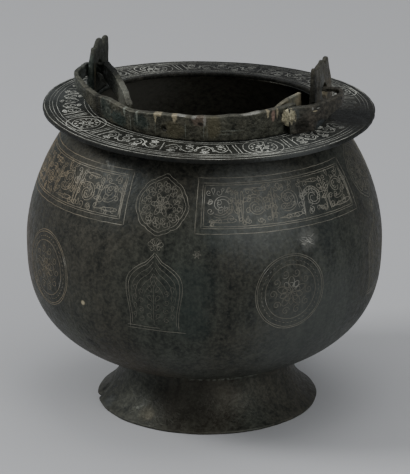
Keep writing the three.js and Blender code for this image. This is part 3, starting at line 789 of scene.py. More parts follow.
def strip_skin(route, shape, soft, dents, seed, dent_size=9.0, edge_dents=0.0):
    """Carries a rounded rectangle along a route. Both ends close with a rounded edge, and lumps move
    each point along its own outward direction. Returns the skin and its wear."""
    way, side = strip_frame(route)
    half_thickness = route[:, 2:3] / 2
    top, bottom = route[:, 3:4].copy(), route[:, 4:5].copy()
    flat = np.hstack([route[:, :2], top])
    top += edge_dents * lumps(flat, 13, seed + 1)[:, None]
    bottom += 0.4 * edge_dents * lumps(flat, 11, seed + 2)[:, None]
    soft = np.minimum(soft, half_thickness * 0.9)
    end_bend = np.linspace(math.pi / 2, 0, 5)[:-1]
    rows = np.concatenate([np.zeros(4, int), np.arange(len(route)), np.full(4, len(route) - 1)])
    grow = np.concatenate([np.cos(end_bend), np.ones(len(route)), np.cos(end_bend[::-1])])[:, None]
    push = np.concatenate([-np.sin(end_bend), np.zeros(len(route)), np.sin(end_bend[::-1])])[:, None]
    push[np.abs(push) > 0.99] *= 0.999
    soft, way, side = soft[rows], way[rows], side[rows]
    half_thickness, top, bottom = half_thickness[rows], top[rows], bottom[rows]
    centre = route[rows, :2] + way * soft * (push - np.sign(push))
    across = shape[None, :, 0] * (half_thickness - soft) + shape[None, :, 2] * soft * grow
    height = bottom + soft + shape[None, :, 1] * (top - bottom - 2 * soft) + shape[None, :, 3] * soft * grow
    points = np.empty(across.shape + (3,))
    points[..., :2] = centre[:, None] + side[:, None] * across[..., None]
    points[..., 2] = height
    lift = dents * (0.6 * lumps(points, dent_size, seed) + 0.4 * lumps(points, dent_size / 3, seed + 3))
    points[..., :2] += side[:, None] * (shape[None, :, 2] * lift)[..., None]
    points[..., 2] += shape[None, :, 3] * lift
    worn = np.abs(shape[:, 2]) < 0.98
    top_side = shape[:, 3] > -0.1
    wear = np.broadcast_to((worn & top_side)[None], across.shape).astype(float).copy()
    wear[:4] = 0.7
    wear[-4:] = 0.7
    return skin(bail_place(points)), wear.reshape(-1)


def band_height(angle):
    """The band gets lower towards its left end, and dips where the tongue's tip lies behind it."""
    ease = smoothstep(-angle, -BAND_BROKEN_ANGLE, BAND_FLAT_ANGLE)
    away = abs(angle + BAND_NOTCH_ANGLE) / BAND_NOTCH_SPAN
    return between(BAND_HEIGHT, BAND_LEFT_HEIGHT, ease) - BAND_NOTCH * max(0, 1 - away)


def band_route():
    """The arch round the front of the mouth, the leg beside the left lug, the hook through its hole and
    the tongue folded back to the inside of the band."""
    route = []
    arch_steps = 13
    for step in range(arch_steps + 1):
        angle = between(BAND_BROKEN_ANGLE, -BAND_FLAT_ANGLE, step / arch_steps)
        bottom = resting_edge(ARCH_INNER, angle)
        route.append(on_arch(ARCH_CENTRE, angle, BAND_THICKNESS, bottom + band_height(angle), bottom))
    _, leg_y, leg_angle, leg_radius = leg_place("lug_left", LEG_THICKNESS)
    arch_end = resting_edge(ARCH_INNER, -BAND_FLAT_ANGLE)
    leg_steps = 4
    for step in range(1, leg_steps + 1):
        share = step / leg_steps
        ease = smoothstep(share, 0, 1)
        route.append(on_arch(
            between(ARCH_CENTRE, leg_radius, share**1.6),
            -between(BAND_FLAT_ANGLE, leg_angle, share),
            between(BAND_THICKNESS, LEG_THICKNESS, share),
            between(arch_end + BAND_LEFT_HEIGHT, LEG_TOP, ease) - LEG_DRAW * math.sin(share * math.pi),
            between(arch_end, LEG_BOTTOM, share**1.3),
        ))
    out_x = LUG_OUTER + HOOK_REACH + LEG_THICKNESS / 2
    half = HOOK_HEIGHT / 2
    bend_x = LUG_INNER - HOOK_BEND
    route.append([-out_x + 0.2, -leg_y / 2, LEG_THICKNESS, LEG_TOP, LEG_BOTTOM])
    route.append([-out_x, -HOOK_BEND, LEG_THICKNESS, half * 1.5, -half * 1.2])
    route.append([-out_x + HOOK_BEND * 0.3, -HOOK_BEND * 0.3, LEG_THICKNESS, half, -half])
    route.append([-out_x + HOOK_BEND, 0, LEG_THICKNESS, half, -half])
    route.append([-LUG_INNER, 0, LEG_THICKNESS, half, -half])
    route.append([-bend_x, -HOOK_BEND * 0.3, LEG_THICKNESS, half * 1.2, -half * 1.4])
    tip_radius = ARCH_INNER - BAND_THICKNESS / 2 - SEAT_GAP
    tip = np.array([
        -tip_radius * math.sin(TONGUE_TIP_ANGLE), HINGE_AHEAD - tip_radius * math.cos(TONGUE_TIP_ANGLE)
    ])
    root = np.array([-bend_x + HOOK_BEND * 0.5, -HOOK_BEND])
    for share, height in ((0, 0.62), (0.3, 0.94), (0.65, 1), (1, 0.9)):
        x, y = between(root, tip, share)
        half = TONGUE_HEIGHT / 2 * height
        bulge = TONGUE_BULGE * math.sin(share * math.pi)
        top = half - share + TONGUE_CROWN * (1 - share)
        route.append([x + bulge, y, BAND_THICKNESS, top, -half - share])
    return route


def strap_radius(angle):
    """The strap leaves the arch slowly, from the band's face to the leg beside the lug."""
    lap_radius = ARCH_OUTER + SEAT_GAP + STRAP_THICKNESS / 2
    _, _, leg_angle, leg_radius = leg_place("lug_right", STRAP_THICKNESS, STRAP_LEAD)
    return between(lap_radius, leg_radius, smoothstep(angle, STRAP_LAP_ANGLE, leg_angle))


def strap_route():
    """Laps the band's outer face, bulges out round the right lug and hooks in through its hole."""
    leg_x, leg_y, leg_angle, _ = leg_place("lug_right", STRAP_THICKNESS, STRAP_LEAD)
    route = []
    lap_steps = 3
    for step in range(lap_steps + 1):
        share = step / lap_steps
        angle = between(STRAP_LAP_ANGLE, leg_angle, share)
        radius = strap_radius(angle)
        bottom = resting_edge(radius - STRAP_THICKNESS / 2, angle) + share * 1.2
        route.append(on_arch(radius, angle, STRAP_THICKNESS, STRAP_TOP, bottom))
    out_x = LUG_OUTER + STRAP_HOOK_REACH + STRAP_THICKNESS / 2
    hook_top = STRAP_HOOK_RISE + STRAP_HOOK_HEIGHT / 2
    hook_bottom = STRAP_HOOK_RISE - STRAP_HOOK_HEIGHT / 2
    bulge_top = STRAP_TOP - STRAP_SAG
    slim = STRAP_THICKNESS * 0.85
    route.append([between(leg_x, out_x, 0.55), -leg_y * 0.66, STRAP_THICKNESS, bulge_top, -STRAP_TOP * 2.1])
    route.append([out_x, -leg_y * 0.28, STRAP_THICKNESS, bulge_top, -STRAP_TOP])
    route.append([out_x - 1, -leg_y * 0.08, STRAP_THICKNESS * 0.9, hook_top, -hook_top])
    route.append([out_x - HOOK_BEND, 0, slim, hook_top, hook_bottom])
    route.append([LUG_OUTER, 0, slim, hook_top, hook_bottom])
    route.append([LUG_INNER - HOOK_BEND, 0, STRAP_THICKNESS * 0.8, hook_top, hook_bottom])
    return route


def stump_route():
    """What is left of the old right tongue, from the inside of the band towards the lug."""
    radius = ARCH_INNER - SEAT_GAP - STUMP_THICKNESS / 2
    heading = STUMP_ANGLE + STUMP_LEAN
    foot = np.array([radius * math.sin(STUMP_ANGLE), HINGE_AHEAD - radius * math.cos(STUMP_ANGLE)])
    route = []
    for step, share in enumerate((1, 0.95, 0.84)):
        x, y = foot + np.array([math.cos(heading), math.sin(heading)]) * STUMP_LENGTH * step / 2
        top = STUMP_TOP + STUMP_RISE * math.sin(step / 2 * math.pi * 0.75)
        route.append([x, y, STUMP_THICKNESS, top, STUMP_TOP - STUMP_HEIGHT * share])
    return route


def solder_skin(rings=44, columns=140):
    """A flat blob with a ragged outline: rings of points spread over the band and the strap's end, with a
    lens-shaped thickness broken by ridges that run up and down, and closed by the same rings below."""
    heading = np.linspace(0, FULL_TURN, columns, endpoint=False)[None]
    circle = np.stack([np.cos(heading[0]), np.sin(heading[0]), 0 * heading[0]], -1)
    ragged = 1 + 0.22 * lumps(circle, 0.9, 82)[None] + 0.10 * lumps(circle, 0.3, 83)[None]
    share = (np.linspace(0.03, 1, rings) ** 0.8)[:, None]
    angle = STRAP_LAP_ANGLE + SOLDER_SHIFT + share * ragged * np.cos(heading) * SOLDER_REACH
    middle = resting_edge(ARCH_INNER, STRAP_LAP_ANGLE) + SOLDER_MIDDLE
    height = middle + share * ragged * np.sin(heading) * SOLDER_RISE
    lap = smoothstep(angle, STRAP_LAP_ANGLE - 0.03, STRAP_LAP_ANGLE + 0.02)
    base = between(ARCH_OUTER, strap_radius(STRAP_LAP_ANGLE) + STRAP_THICKNESS / 2, lap)
    spots = np.stack([angle * ARCH_OUTER * 2.2, height * 0.45, 0 * angle], -1)
    crumbs = 0.62 * lumps(spots, 4.2, 84) + 0.38 * lumps(spots, 1.5, 85)
    thick = SOLDER_THICKNESS * np.sqrt(1 - share**2) * (0.62 + 0.75 * crumbs)
    outer = base + np.maximum(thick, 0.05)
    inner = base - 0.2 + 0 * thick
    x = np.concatenate([outer, inner[::-1]])
    turn, level = np.concatenate([angle, angle[::-1]]), np.concatenate([height, height[::-1]])
    points = np.stack([x * np.sin(turn), HINGE_AHEAD - x * np.cos(turn), level], -1)
    return skin(bail_place(points))


# Engraved lines, drawn flat in mm and then laid on a surface


def ring_line(x, y, radius, count, start=0.0, end=FULL_TURN):
    angle = np.linspace(start, end, count)
    return np.stack([x + radius * np.cos(angle), y + radius * np.sin(angle)], -1)


def spiral_line(x, y, radius, turns, start, count=40):
    """Winds in from the radius to a sixth of it."""
    share = np.linspace(0, 1, count)
    reach = radius * (1 - share * 0.84)
    angle = start + turns * FULL_TURN * share
    return np.stack([x + reach * np.cos(angle), y + reach * np.sin(angle)], -1)


def leaf_line(x, y, length, heading, width=0.42, count=22):
    """A pointed leaf: out along one side and back along the other."""
    share = np.linspace(0, 1, count)
    along = np.sin(share * math.pi) ** 0.8 * length
    across = width * length * np.sin(share * FULL_TURN) * 0.6
    c, s = math.cos(heading), math.sin(heading)
    return np.stack([x + along * c - across * s, y + along * s + across * c], -1)


def rosette_line(x, y, radius, petals, depth, turn=0.0, count=160):
    """A circle drawn in to petals by ``depth``, a share of the radius."""
    angle = np.linspace(0, FULL_TURN, count)
    reach = radius * (1 - depth + depth * np.cos(petals * angle))
    return np.stack([x + reach * np.cos(angle + turn), y + reach * np.sin(angle + turn)], -1)


def polar(reach, heading):
    """X and Y of a point at a distance and a heading."""
    return reach * math.cos(heading), reach * math.sin(heading)


def straight_line(x0, y0, x1, y1):
    """A line with a point every 1.5 mm or so."""
    count = max(2, int(math.hypot(x1 - x0, y1 - y0) / 1.5) + 1)
    share = np.linspace(0, 1, count)[:, None]
    return np.array([x0, y0]) * (1 - share) + np.array([x1, y1]) * share


def offset_line(line, distance):
    way = np.gradient(line, axis=0)
    way /= np.linalg.norm(way, axis=1)[:, None] + 1e-9
    return line + np.stack([-way[:, 1], way[:, 0]], -1) * distance


def frame_lines(left, bottom, right, top, insets):
    """Rectangles inside each other."""
    lines = []
    for inset in insets:
        l, b, r, t = left + inset, bottom + inset, right - inset, top - inset
        lines += [straight_line(l, b, r, b), straight_line(r, b, r, t)]
        lines += [straight_line(r, t, l, t), straight_line(l, t, l, b)]
    return lines


def ground_scrolls(left, right, bottom, top, pitch, seed):
    """Small spirals and leaves on a loose grid, behind bigger forms."""
    source = np.random.default_rng(seed)
    lines = []
    rows = max(1, round((top - bottom) / pitch))
    for column in range(int((right - left) / pitch)):
        for row in range(rows):
            x = left + (column + 0.5 + source.uniform(-0.22, 0.22)) * pitch
            y = bottom + (row + 0.5 + source.uniform(-0.2, 0.2)) * (top - bottom) / rows
            turns = source.choice([-1.25, 1.25])
            start = source.uniform(0, FULL_TURN)
            lines.append(spiral_line(x, y, pitch * source.uniform(0.30, 0.42), turns, start, 20))
            if source.uniform() > 0.5:
                lines.append(leaf_line(x + pitch * 0.3, y, pitch * 0.5, start))
    return lines


def foliage_lines(left, right, bottom, top, seed):
    """Big scrolls with leaves on their backs, held apart by tall spindle leaves in ones and twos. The
    hand that drew them spaced nothing evenly."""
    source = np.random.default_rng(seed)
    middle, half = (bottom + top) / 2, (top - bottom) / 2
    lines = []
    here = left + half * 0.2
    flip = 1
    while here < right - half * 0.9:
        size = half * source.uniform(0.50, 0.64)
        centre = here + size
        level = middle + flip * half * source.uniform(0.02, 0.25)
        scroll = spiral_line(centre, level, size, 1.3 * flip, -flip * 2.2, 44)
        lines += [offset_line(scroll, half * 0.07), offset_line(scroll, -half * 0.07)]
        for heading in (0.2, 1.2, 2.2):
            turn = flip * heading + source.uniform(-0.2, 0.2)
            x, y = polar(size * 1.1, turn)
            lines.append(leaf_line(centre + x, level + y, half * 0.36, turn - flip * 0.6))
        foot = middle - flip * half * 0.84
        lines.append(leaf_line(centre - size * 1.1, foot, size * 2.3, 0.06 * flip, 0.12))
        here = centre + size * 1.15
        for _ in range(1 + (source.uniform() > 0.4)):
            here += half * source.uniform(0.15, 0.22)
            tall = half * source.uniform(1.5, 1.9)
            lean = math.pi / 2 + source.uniform(-0.07, 0.07)
            lines.append(leaf_line(here, bottom + half * 0.04, tall, lean, 0.075, 34))
            side = source.choice([-1, 1])
            lines.append(leaf_line(here, bottom + tall * 0.66, half * 0.42, math.pi / 2 - side * 0.9))
        here += half * source.uniform(0.14, 0.24)
        flip = -flip
    return lines


def panel_lines(half_width, height, seed):
    """A shoulder panel: a treble frame round scrolling foliage."""
    lines = frame_lines(-half_width, 0, half_width, height, (0, 2.9, 4.0))
    left, right, bottom, top = -half_width + 4.6, half_width - 4.6, 4.8, height - 4.8
    lines += ground_scrolls(left, right, bottom, top, 5.2, seed)
    return lines + foliage_lines(left, right, bottom, top, seed)


def fitted(lines, half_width, height, ends, lean=0.0):
    """Lifts the left and right end of flat lines by the amounts in ``ends``, and pushes the lower left
    corner out by ``lean``."""
    moved = []
    for line in lines:
        across = (line[:, :1] / half_width + 1) / 2
        x = line[:, :1] - lean * (1 - across) * (1 - line[:, 1:] / height)
        moved.append(np.hstack([x, line[:, 1:] + ends[0] * (1 - across) + ends[1] * across]))
    return moved


def medallion_lines(radius, tall, turn):
    """A pointed lobed frame, double, round a rosette and two rings of leaves and spirals."""
    angle = np.linspace(0, FULL_TURN, 200)
    lines = []
    for size in (1.0, 0.88):
        reach = 1 - 0.045 + 0.045 * np.abs(np.sin(angle * 6)) ** 0.6
        for point, rise in ((0, 0.08), (math.pi / 2, 0.14), (math.pi, 0.05), (1.5 * math.pi, 0.10)):
            off = (angle - point + math.pi) % FULL_TURN - math.pi
            reach = reach + rise * np.exp(-((off / 0.15) ** 2))
        reach = radius * size * reach
        lines.append(np.stack([reach * np.cos(angle), reach * np.sin(angle)], -1))
    lines += [rosette_line(0, 0, radius * 0.42, 6, 0.3), rosette_line(0, 0, radius * 0.27, 6, 0.3, 0.5, 90)]
    for index in range(12):
        heading = index * FULL_TURN / 12 + 0.12
        lines.append(leaf_line(*polar(radius * 0.47, heading), radius * 0.24, heading + 0.5))
        lines.append(leaf_line(*polar(radius * 0.62, heading), radius * 0.22, heading - 0.6))
        beside = heading + 0.26
        lines.append(spiral_line(*polar(radius * 0.70, beside), radius * 0.14, 1.3, heading * 3, 20))
        lines.append(spiral_line(*polar(radius * 0.52, beside), radius * 0.09, -1.2, heading, 16))
    for index in range(6):
        lines.append(leaf_line(0, 0, radius * 0.3, index * FULL_TURN / 6))
    c, s = math.cos(turn), math.sin(turn)
    return [line * [1, tall] @ np.array([[c, s], [-s, c]]) for line in lines]


def niche_lines(half_width, height):
    """A keel-arched niche on a double base line, with arches nested in its head and a leafy stem. Returns
    the bold outlines and the fainter drawing inside them."""
    spine = np.array([
        [0.02, 1.0], [0.14, 0.945], [0.30, 0.885], [0.52, 0.84], [0.76, 0.775], [0.93, 0.70], [1.0, 0.61],
        [0.985, 0.50], [0.93, 0.38], [0.86, 0.25], [0.84, 0.12], [0.86, 0.0],
    ])
    side = spaced(spine, 60)
    for _ in range(6):
        side[1:-1] = 0.25 * side[:-2] + 0.5 * side[1:-1] + 0.25 * side[2:]
    bold = [
        straight_line(-half_width * 0.98, 0, half_width * 1.1, -1.2),
        straight_line(-half_width * 0.98, 1.6, half_width * 0.2, 0.9),
    ]
    faint = []
    for mirror in (-1, 1):
        edge = side * [half_width * mirror, height]
        bold += [edge, (edge * [0.91, 0.965])[:-2]]
        for narrow, low, end in ((0.78, 0.90, 14), (0.64, 0.83, 18), (0.50, 0.75, 22), (0.36, 0.67, 24)):
            faint.append((edge * [narrow, low])[1:-end])
        for level in (0.14, 0.26, 0.38, 0.50):
            x, y = mirror * half_width, height * level
            heading = 1.0 if mirror > 0 else math.pi - 1.0
            faint.append(leaf_line(x * 0.06, y, half_width * 0.24, heading))
            faint.append(spiral_line(x * 0.44, y, half_width * 0.11, mirror * 1.3, level * 9, 18))
            faint.append(leaf_line(x * 0.64, y, half_width * 0.22, heading + mirror * 0.5))
    faint.append(straight_line(0, height * 0.06, 0, height * 0.6))
    faint.append(leaf_line(0, height * 0.56, height * 0.14, math.pi / 2, 0.5))
    return bold, faint


def finial_lines(size):
    """A small palmette that joins the medallion to the niche."""
    lines = [leaf_line(0, -size * 0.9, size * 1.9, math.pi / 2, 0.5)]
    for mirror in (-1, 1):
        for heading, length in ((0.25, 1.25), (0.85, 1.15)):
            angle = heading if mirror > 0 else math.pi - heading
            lines.append(leaf_line(0, -size * 0.2, size * length, angle))
        lines.append(spiral_line(mirror * size * 0.62, -size * 0.62, size * 0.4, mirror * 1.1, 0.4, 20))
    return lines


def roundel_lines(radius):
    """A belly roundel: a double ring, a ring of dashes inside it and an interlaced star in the middle."""
    lines = [ring_line(0, 0, radius * share, count) for share, count in ((1, 110), (0.95, 100), (0.73, 90))]
    for index in range(44):
        start = index * FULL_TURN / 44
        lines.append(ring_line(0, 0, radius * 0.835, 4, start, start + 0.085))
    for share, turn in ((0.42, 0.3), (0.34, 0.3 + math.pi / 5)):
        lines.append(rosette_line(0, 0, radius * share, 5, 0.32, turn))
    for index in range(10):
        heading = index * FULL_TURN / 10
        lines.append(spiral_line(*polar(radius * 0.52, heading), radius * 0.12, 1.3, heading + 2, 20))
    for index in range(5):
        lines.append(leaf_line(0, 0, radius * 0.26, 0.3 + index * FULL_TURN / 5))
    return lines


def vine_lines(left, right, bottom, top, pitch):
    """A wavy stem with a spiral shoot in each bend, a bunch of three leaves on the spiral's far side and
    a pair of leaves where the stem crosses the middle."""
    middle, half = (bottom + top) / 2, (top - bottom) / 2
    x = np.linspace(left, right, max(4, int((right - left) / 0.7)))
    lines = [np.stack([x, middle + half * 0.72 * np.sin((x - left) / pitch * math.pi)], -1)]
    for index in range(int((right - left) / pitch)):
        centre = left + (index + 0.5) * pitch
        up = -1 if index % 2 else 1
        down = -up * math.pi / 2
        lines.append(spiral_line(centre, middle - up * half * 0.12, half * 0.48, -1.2 * up, up * 1.5, 30))
        for heading in (-0.9, 0, 0.9):
            lines.append(leaf_line(centre, middle - up * half * 0.55, half * 0.42, down + heading))
        if index:
            cross = left + index * pitch
            for heading in (math.pi / 2, -math.pi / 2):
                lines.append(leaf_line(cross, middle, half * 0.5, heading - up * 0.2, 0.3))
    return lines


def rim_roundel_lines(radius):
    """A double ring round a rosette and a ring of twelve small leaves."""
    lines = [ring_line(0, 0, radius, 80), ring_line(0, 0, radius * 0.7, 70)]
    lines.append(rosette_line(0, 0, radius * 0.36, 6, 0.35, 0, 90))
    for index in range(12):
        heading = index * FULL_TURN / 12
        lines.append(leaf_line(*polar(radius * 0.47, heading), radius * 0.12, heading + 0.6))
    return lines


def rim_panel_lines(half_width, low, high):
    """A rim panel: slanting double ends, a bar in the middle, and a vine on each side of it."""
    lines = []
    for mirror in (-1, 1):
        for inset in (0, 1.9, 5.4):
            x = mirror * (half_width - inset)
            lines.append(straight_line(x, low, x - 1.6 * mirror, high))
    lines.append(straight_line(0.6, low + 1, -0.6, high - 1))
    for start, end in ((-half_width + 6.2, -1.6), (1.6, half_width - 6.2)):
        pitch = (end - start) / max(2, round((end - start) / 8.6))
        lines += vine_lines(start, end, low + 0.5, high - 0.5, pitch)
    return lines


def laid_lines(lines, place, width, rise, sink=0.22, seed=3):
    """Carries a low flat-topped ridge along each line. ``place`` turns flat points and a lift into
    places on a surface. The hand's tremble moves the line and changes its width."""
    skins = []
    for index, line in enumerate(lines):
        closed = np.linalg.norm(line[0] - line[-1]) < 1e-6
        if closed:
            line = line[:-1]
            way = np.roll(line, -1, 0) - np.roll(line, 1, 0)
        else:
            way = np.gradient(line, axis=0)
        way = way / (np.linalg.norm(way, axis=1)[:, None] + 1e-9)
        aside = np.stack([-way[:, 1], way[:, 0]], -1)
        flat = np.hstack([line, np.full((len(line), 1), index * 7.3)])
        line = line + aside * 0.16 * lumps(flat, 6, seed, 5)[:, None]
        half = width / 2 * (1 + 0.35 * lumps(flat, 8, seed + 1, 5))[:, None]
        if not closed:
            half[0] *= 0.3
            half[-1] *= 0.3
        corners = [
            place(line + aside * half, -sink), place(line + aside * half * 0.62, rise),
            place(line - aside * half * 0.62, rise), place(line - aside * half, -sink),
        ]
        skins.append(skin(np.stack(corners, 1), loop=closed))
    return joined(skins)


def bowl_table():
    """Profile of the bowl's outside by the distance walked up it."""
    height = np.linspace(BOWL_LIFT + 0.2, RIM_EDGE_HEIGHT, 3000)
    radius = bowl_radius(height)
    walked = np.concatenate([[0], np.cumsum(np.hypot(np.diff(height), np.diff(radius)))])
    out, up = slope_normal(radius, height)
    return height, radius, walked, out, up


BOWL_TABLE = bowl_table()


def bowl_place(turn, height, width_radius):
    """Returns the function that lays flat points on the bowl, with their origin at a turn and height."""
    heights, radii, walked, outs, ups = BOWL_TABLE
    start = np.interp(height, heights, walked)

    def place(points, lift):
        up_walk = start + points[:, 1]
        around = turn + points[:, 0] / width_radius
        radius = np.interp(up_walk, walked, radii)
        level = np.interp(up_walk, walked, heights)
        out = np.interp(up_walk, walked, outs)
        up = np.interp(up_walk, walked, ups)
        skin_points = round_points(radius, level, around)
        swell = bowl_swell(skin_points) + lift
        return round_points(radius + out * swell, level + up * swell, around)

    return place


def rim_place(turn, radius):
    """Returns the function that lays flat points on the rim's top. Up is towards the mouth."""

    def place(points, lift):
        reach = radius - points[:, 1]
        around = turn + points[:, 0] / radius
        spots = round_points(reach, rim_top(reach), around)
        spots[:, 2] += rim_swell(spots) + lift
        return settled(spots)

    return place


# Finishes


class Signal:
    """A number that comes out of a shader node. Arithmetic on it adds Math nodes."""

    def __init__(self, recipe, socket):
        self.recipe = recipe
        self.socket = socket

    def maths(self, operation, first, second=0.0, clamp=False):
        settings = {"operation": operation, "use_clamp": clamp}
        return self.recipe.node("ShaderNodeMath", settings, {0: first, 1: second})

    def __add__(self, other):
        return self.maths("ADD", self, other)

    def __sub__(self, other):
        return self.maths("SUBTRACT", self, other)

    def __mul__(self, other):
        return self.maths("MULTIPLY", self, other)

    def __rsub__(self, other):
        return self.maths("SUBTRACT", other, self)

    def __pow__(self, other):
        return self.maths("POWER", self, other)

    __radd__ = __add__
    __rmul__ = __mul__

    def clamped(self):
        return self.maths("ADD", self, 0.0, clamp=True)

    def step(self, low, high):
        """Rises smoothly from 0 at ``low`` to 1 at ``high``."""
        return self.recipe.node(
            "ShaderNodeMapRange",
            {"interpolation_type": "SMOOTHSTEP"},
            {"Value": self, "From Min": low, "From Max": high, "To Min": 0.0, "To Max": 1.0},
        )


class Recipe:
    """Builds one material. ``node`` adds any node and gives back one of its outputs."""

    def __init__(self, name):
        self.material = bpy.data.materials.new(name)
        self.material.use_nodes = True
        self.tree = self.material.node_tree
        self.tree.nodes.clear()
        self.place = self.node("ShaderNodeTexCoord", output="Object")
        self.edge_noise = None
        self.flat = None

    def node(self, kind, settings=None, values=None, output=0):
        made = self.tree.nodes.new(kind)
        for key, value in (settings or {}).items():
            setattr(made, key, value)
        for key, value in (values or {}).items():
            socket = made.inputs[key]
            if isinstance(value, Signal):
                self.tree.links.new(value.socket, socket)
            elif isinstance(value, (tuple, list)) and len(value) == 3 and socket.type == "RGBA":
                socket.default_value = (*value, 1.0)
            else:
                socket.default_value = value
        return Signal(self, made.outputs[output]) if output is not None else None

    def noise(self, scale, detail=4.0, roughness=0.55, stretch=None, distortion=0.0):
        """Soft noise between 0 and 1 on the piece's own coordinates, with its middle near a half."""
        where = self.place
        if stretch:
            where = self.node("ShaderNodeMapping", None, {"Vector": where, "Scale": stretch})
        return self.node("ShaderNodeTexNoise", None, {
            "Vector": where, "Scale": scale, "Detail": detail, "Roughness": roughness,
            "Distortion": distortion,
        })

    def blend(self, first, second, share):
        """Mixes two colours."""
        return self.node("ShaderNodeMix", {"data_type": "RGBA"}, {0: share, 6: first, 7: second}, output=2)

    def value(self, name):
        """A value that the mesh carries at its points."""
        return self.node("ShaderNodeAttribute", {"attribute_name": name}, output="Fac")

    def axis(self, name):
        """One coordinate in metres."""
        return self.node("ShaderNodeSeparateXYZ", None, {0: self.place}, output=name)

    def spot(self, centre, radius, ragged=0.35):
        """1 at a point given in mm and 0 beyond a radius in mm, with a ragged edge."""
        centre = tuple(value * MM for value in centre)
        ends = {0: self.place, 1: centre}
        far = self.node("ShaderNodeVectorMath", {"operation": "DISTANCE"}, ends, output="Value")
        far = far * (1 / (radius * MM)) + (self.crumble() - 0.5) * (2 * ragged)
        return 1 - far.step(0.35, 1.0)

    def crumble(self):
        """Noise that breaks up the edges of spots and patches, made once for the whole material."""
        if self.edge_noise is None:
            self.edge_noise = self.noise(480.0, 4.0, 0.65)
        return self.edge_noise

    def patch(self, across, high, half_width, half_height, ragged=0.5, taper=0.0):
        """1 in an oval on the piece's ``across`` and ``high`` values and 0 outside, with a ragged edge.
        With ``taper`` the oval narrows downwards."""
        if self.flat is None:
            self.flat = (self.value("across"), self.value("high"))
        up = (self.flat[1] - high) * (1 / half_height)
        aside = (self.flat[0] - across) * (1 / half_width)
        if taper:
            aside = aside * (1 + taper - up * taper)
        far = (up**2 + aside**2) ** 0.5 + (self.crumble() - 0.5) * (2 * ragged)
        return 1 - far.step(0.55, 1.1)

    def bump(self, height, strength, distance):
        values = {"Height": height, "Strength": strength, "Distance": distance}
        return self.node("ShaderNodeBump", None, values)

    def finish(self, colour, roughness, metallic, normal, specular=0.5):
        """Ends the material on one shader and gives the material back."""
        shader = self.node("ShaderNodeBsdfPrincipled", None, {
            "Base Color": colour, "Roughness": roughness, "Metallic": metallic, "Normal": normal,
            "Specular IOR Level": specular,
        })
        self.node("ShaderNodeOutputMaterial", None, {"Surface": shader}, output=None)
        return self.material


def patina(name, brown, green, wear_strength, bump, marks, rough=(0.42, 0.62), streak=0.22):
    """Old bronze: brown and green clouds over a dark ground, mottling of three sizes, streaks that run
    down, pale dust in the pits, and worn metal where the piece's wear says so. Over these come the
    tints from ``marks``, which hold both marks and painted light and shade."""
    recipe = Recipe(name)
    clouds = recipe.noise(17.0, 4.0, 0.6).step(0.36, 0.66)
    drift = recipe.noise(9.0, 3.0, 0.5, distortion=0.4).step(0.38, 0.62)
    blotch = recipe.noise(80.0, 4.0, 0.6, distortion=0.5).step(0.38, 0.62)
    mottle = recipe.noise(330.0, 5.0, 0.65).step(0.34, 0.66)
    run = recipe.noise(150.0, 3.0, 0.6, stretch=(1.0, 1.0, 0.14)).step(0.36, 0.64)
    grain = recipe.noise(950.0, 3.0, 0.6)
    ground = recipe.blend(brown, green, drift)
    speckle = recipe.noise(560.0, 3.0, 0.6).step(0.40, 0.62)
    share = clouds * 0.12 + blotch * (0.32 - streak) + mottle * 0.26 + run * streak + speckle * 0.32 - 0.01
    ground = recipe.blend(colour("patina_dark"), ground, share.clamped())
    dust = recipe.noise(620.0, 4.0, 0.7).step(0.58, 0.72) * recipe.noise(60.0, 3.0).step(0.44, 0.64) * 0.28
    ground = recipe.blend(ground, colour("worn_metal"), dust)
    worn = (recipe.value("wear") * (0.25 + mottle * 0.75) * wear_strength).clamped()
    ground = recipe.blend(ground, colour("worn_metal"), worn)
    for tint, strength, mask in marks(recipe):
        ground = recipe.blend(ground, tint, (mask * strength).clamped())
    low, high = rough
    roughness = (low + (high - low) * mottle + (grain - 0.5) * 0.12 - worn * 0.1).clamped()
    relief = recipe.bump(mottle * 0.5 + grain * 0.35 + blotch * 0.4, bump, 0.0006)
    return recipe.finish(ground, roughness, 0.5 + worn * 0.2, relief, 0.3)


# Where the inlay in the lines is worn thin, and where it is bright: a point and a radius in mm, and a
# strength
BOWL_LINE_FADES = (
    ((73.8, -67.4, 94.3), 32, 0.62),
    ((6.5, -99.8, 90), 32, 0.62),
    ((62, -60, 142), 17, 0.35),
    ((-66, -75, 94), 26, 0.2),
    ((89, 7, 143), 24, 0.85),
    ((100, 8, 100), 34, 0.7),
)
BOWL_LINE_GLINTS = (
    ((71, -70, 101), 3.5, 0.35),
    ((75.4, -65.6, 99), 4.0, 0.40),
    ((62.2, -78.2, 90.5), 3.0, 0.5),
    ((63.1, -76.5, 107.5), 3.0, 0.6),
    ((-53.7, -84.3, 88.5), 4.0, 0.5),
    ((-49.9, -86.3, 103), 4.0, 0.5),
    ((-45, -70.6, 150.5), 9.0, 0.35),
    ((35, -79, 146), 10.0, 0.5),
    ((78.8, -55.2, 121.5), 8.0, 0.9),
    ((76, -48, 140), 12.0, 0.35),
)
RIM_LINE_FADES = (
    ((86, 10, 174), 34, 0.97),
    ((88, 34, 174), 34, 0.6),
    ((0, 80, 176), 80, 0.68),
    ((-86, -10, 174), 30, 0.35),
)


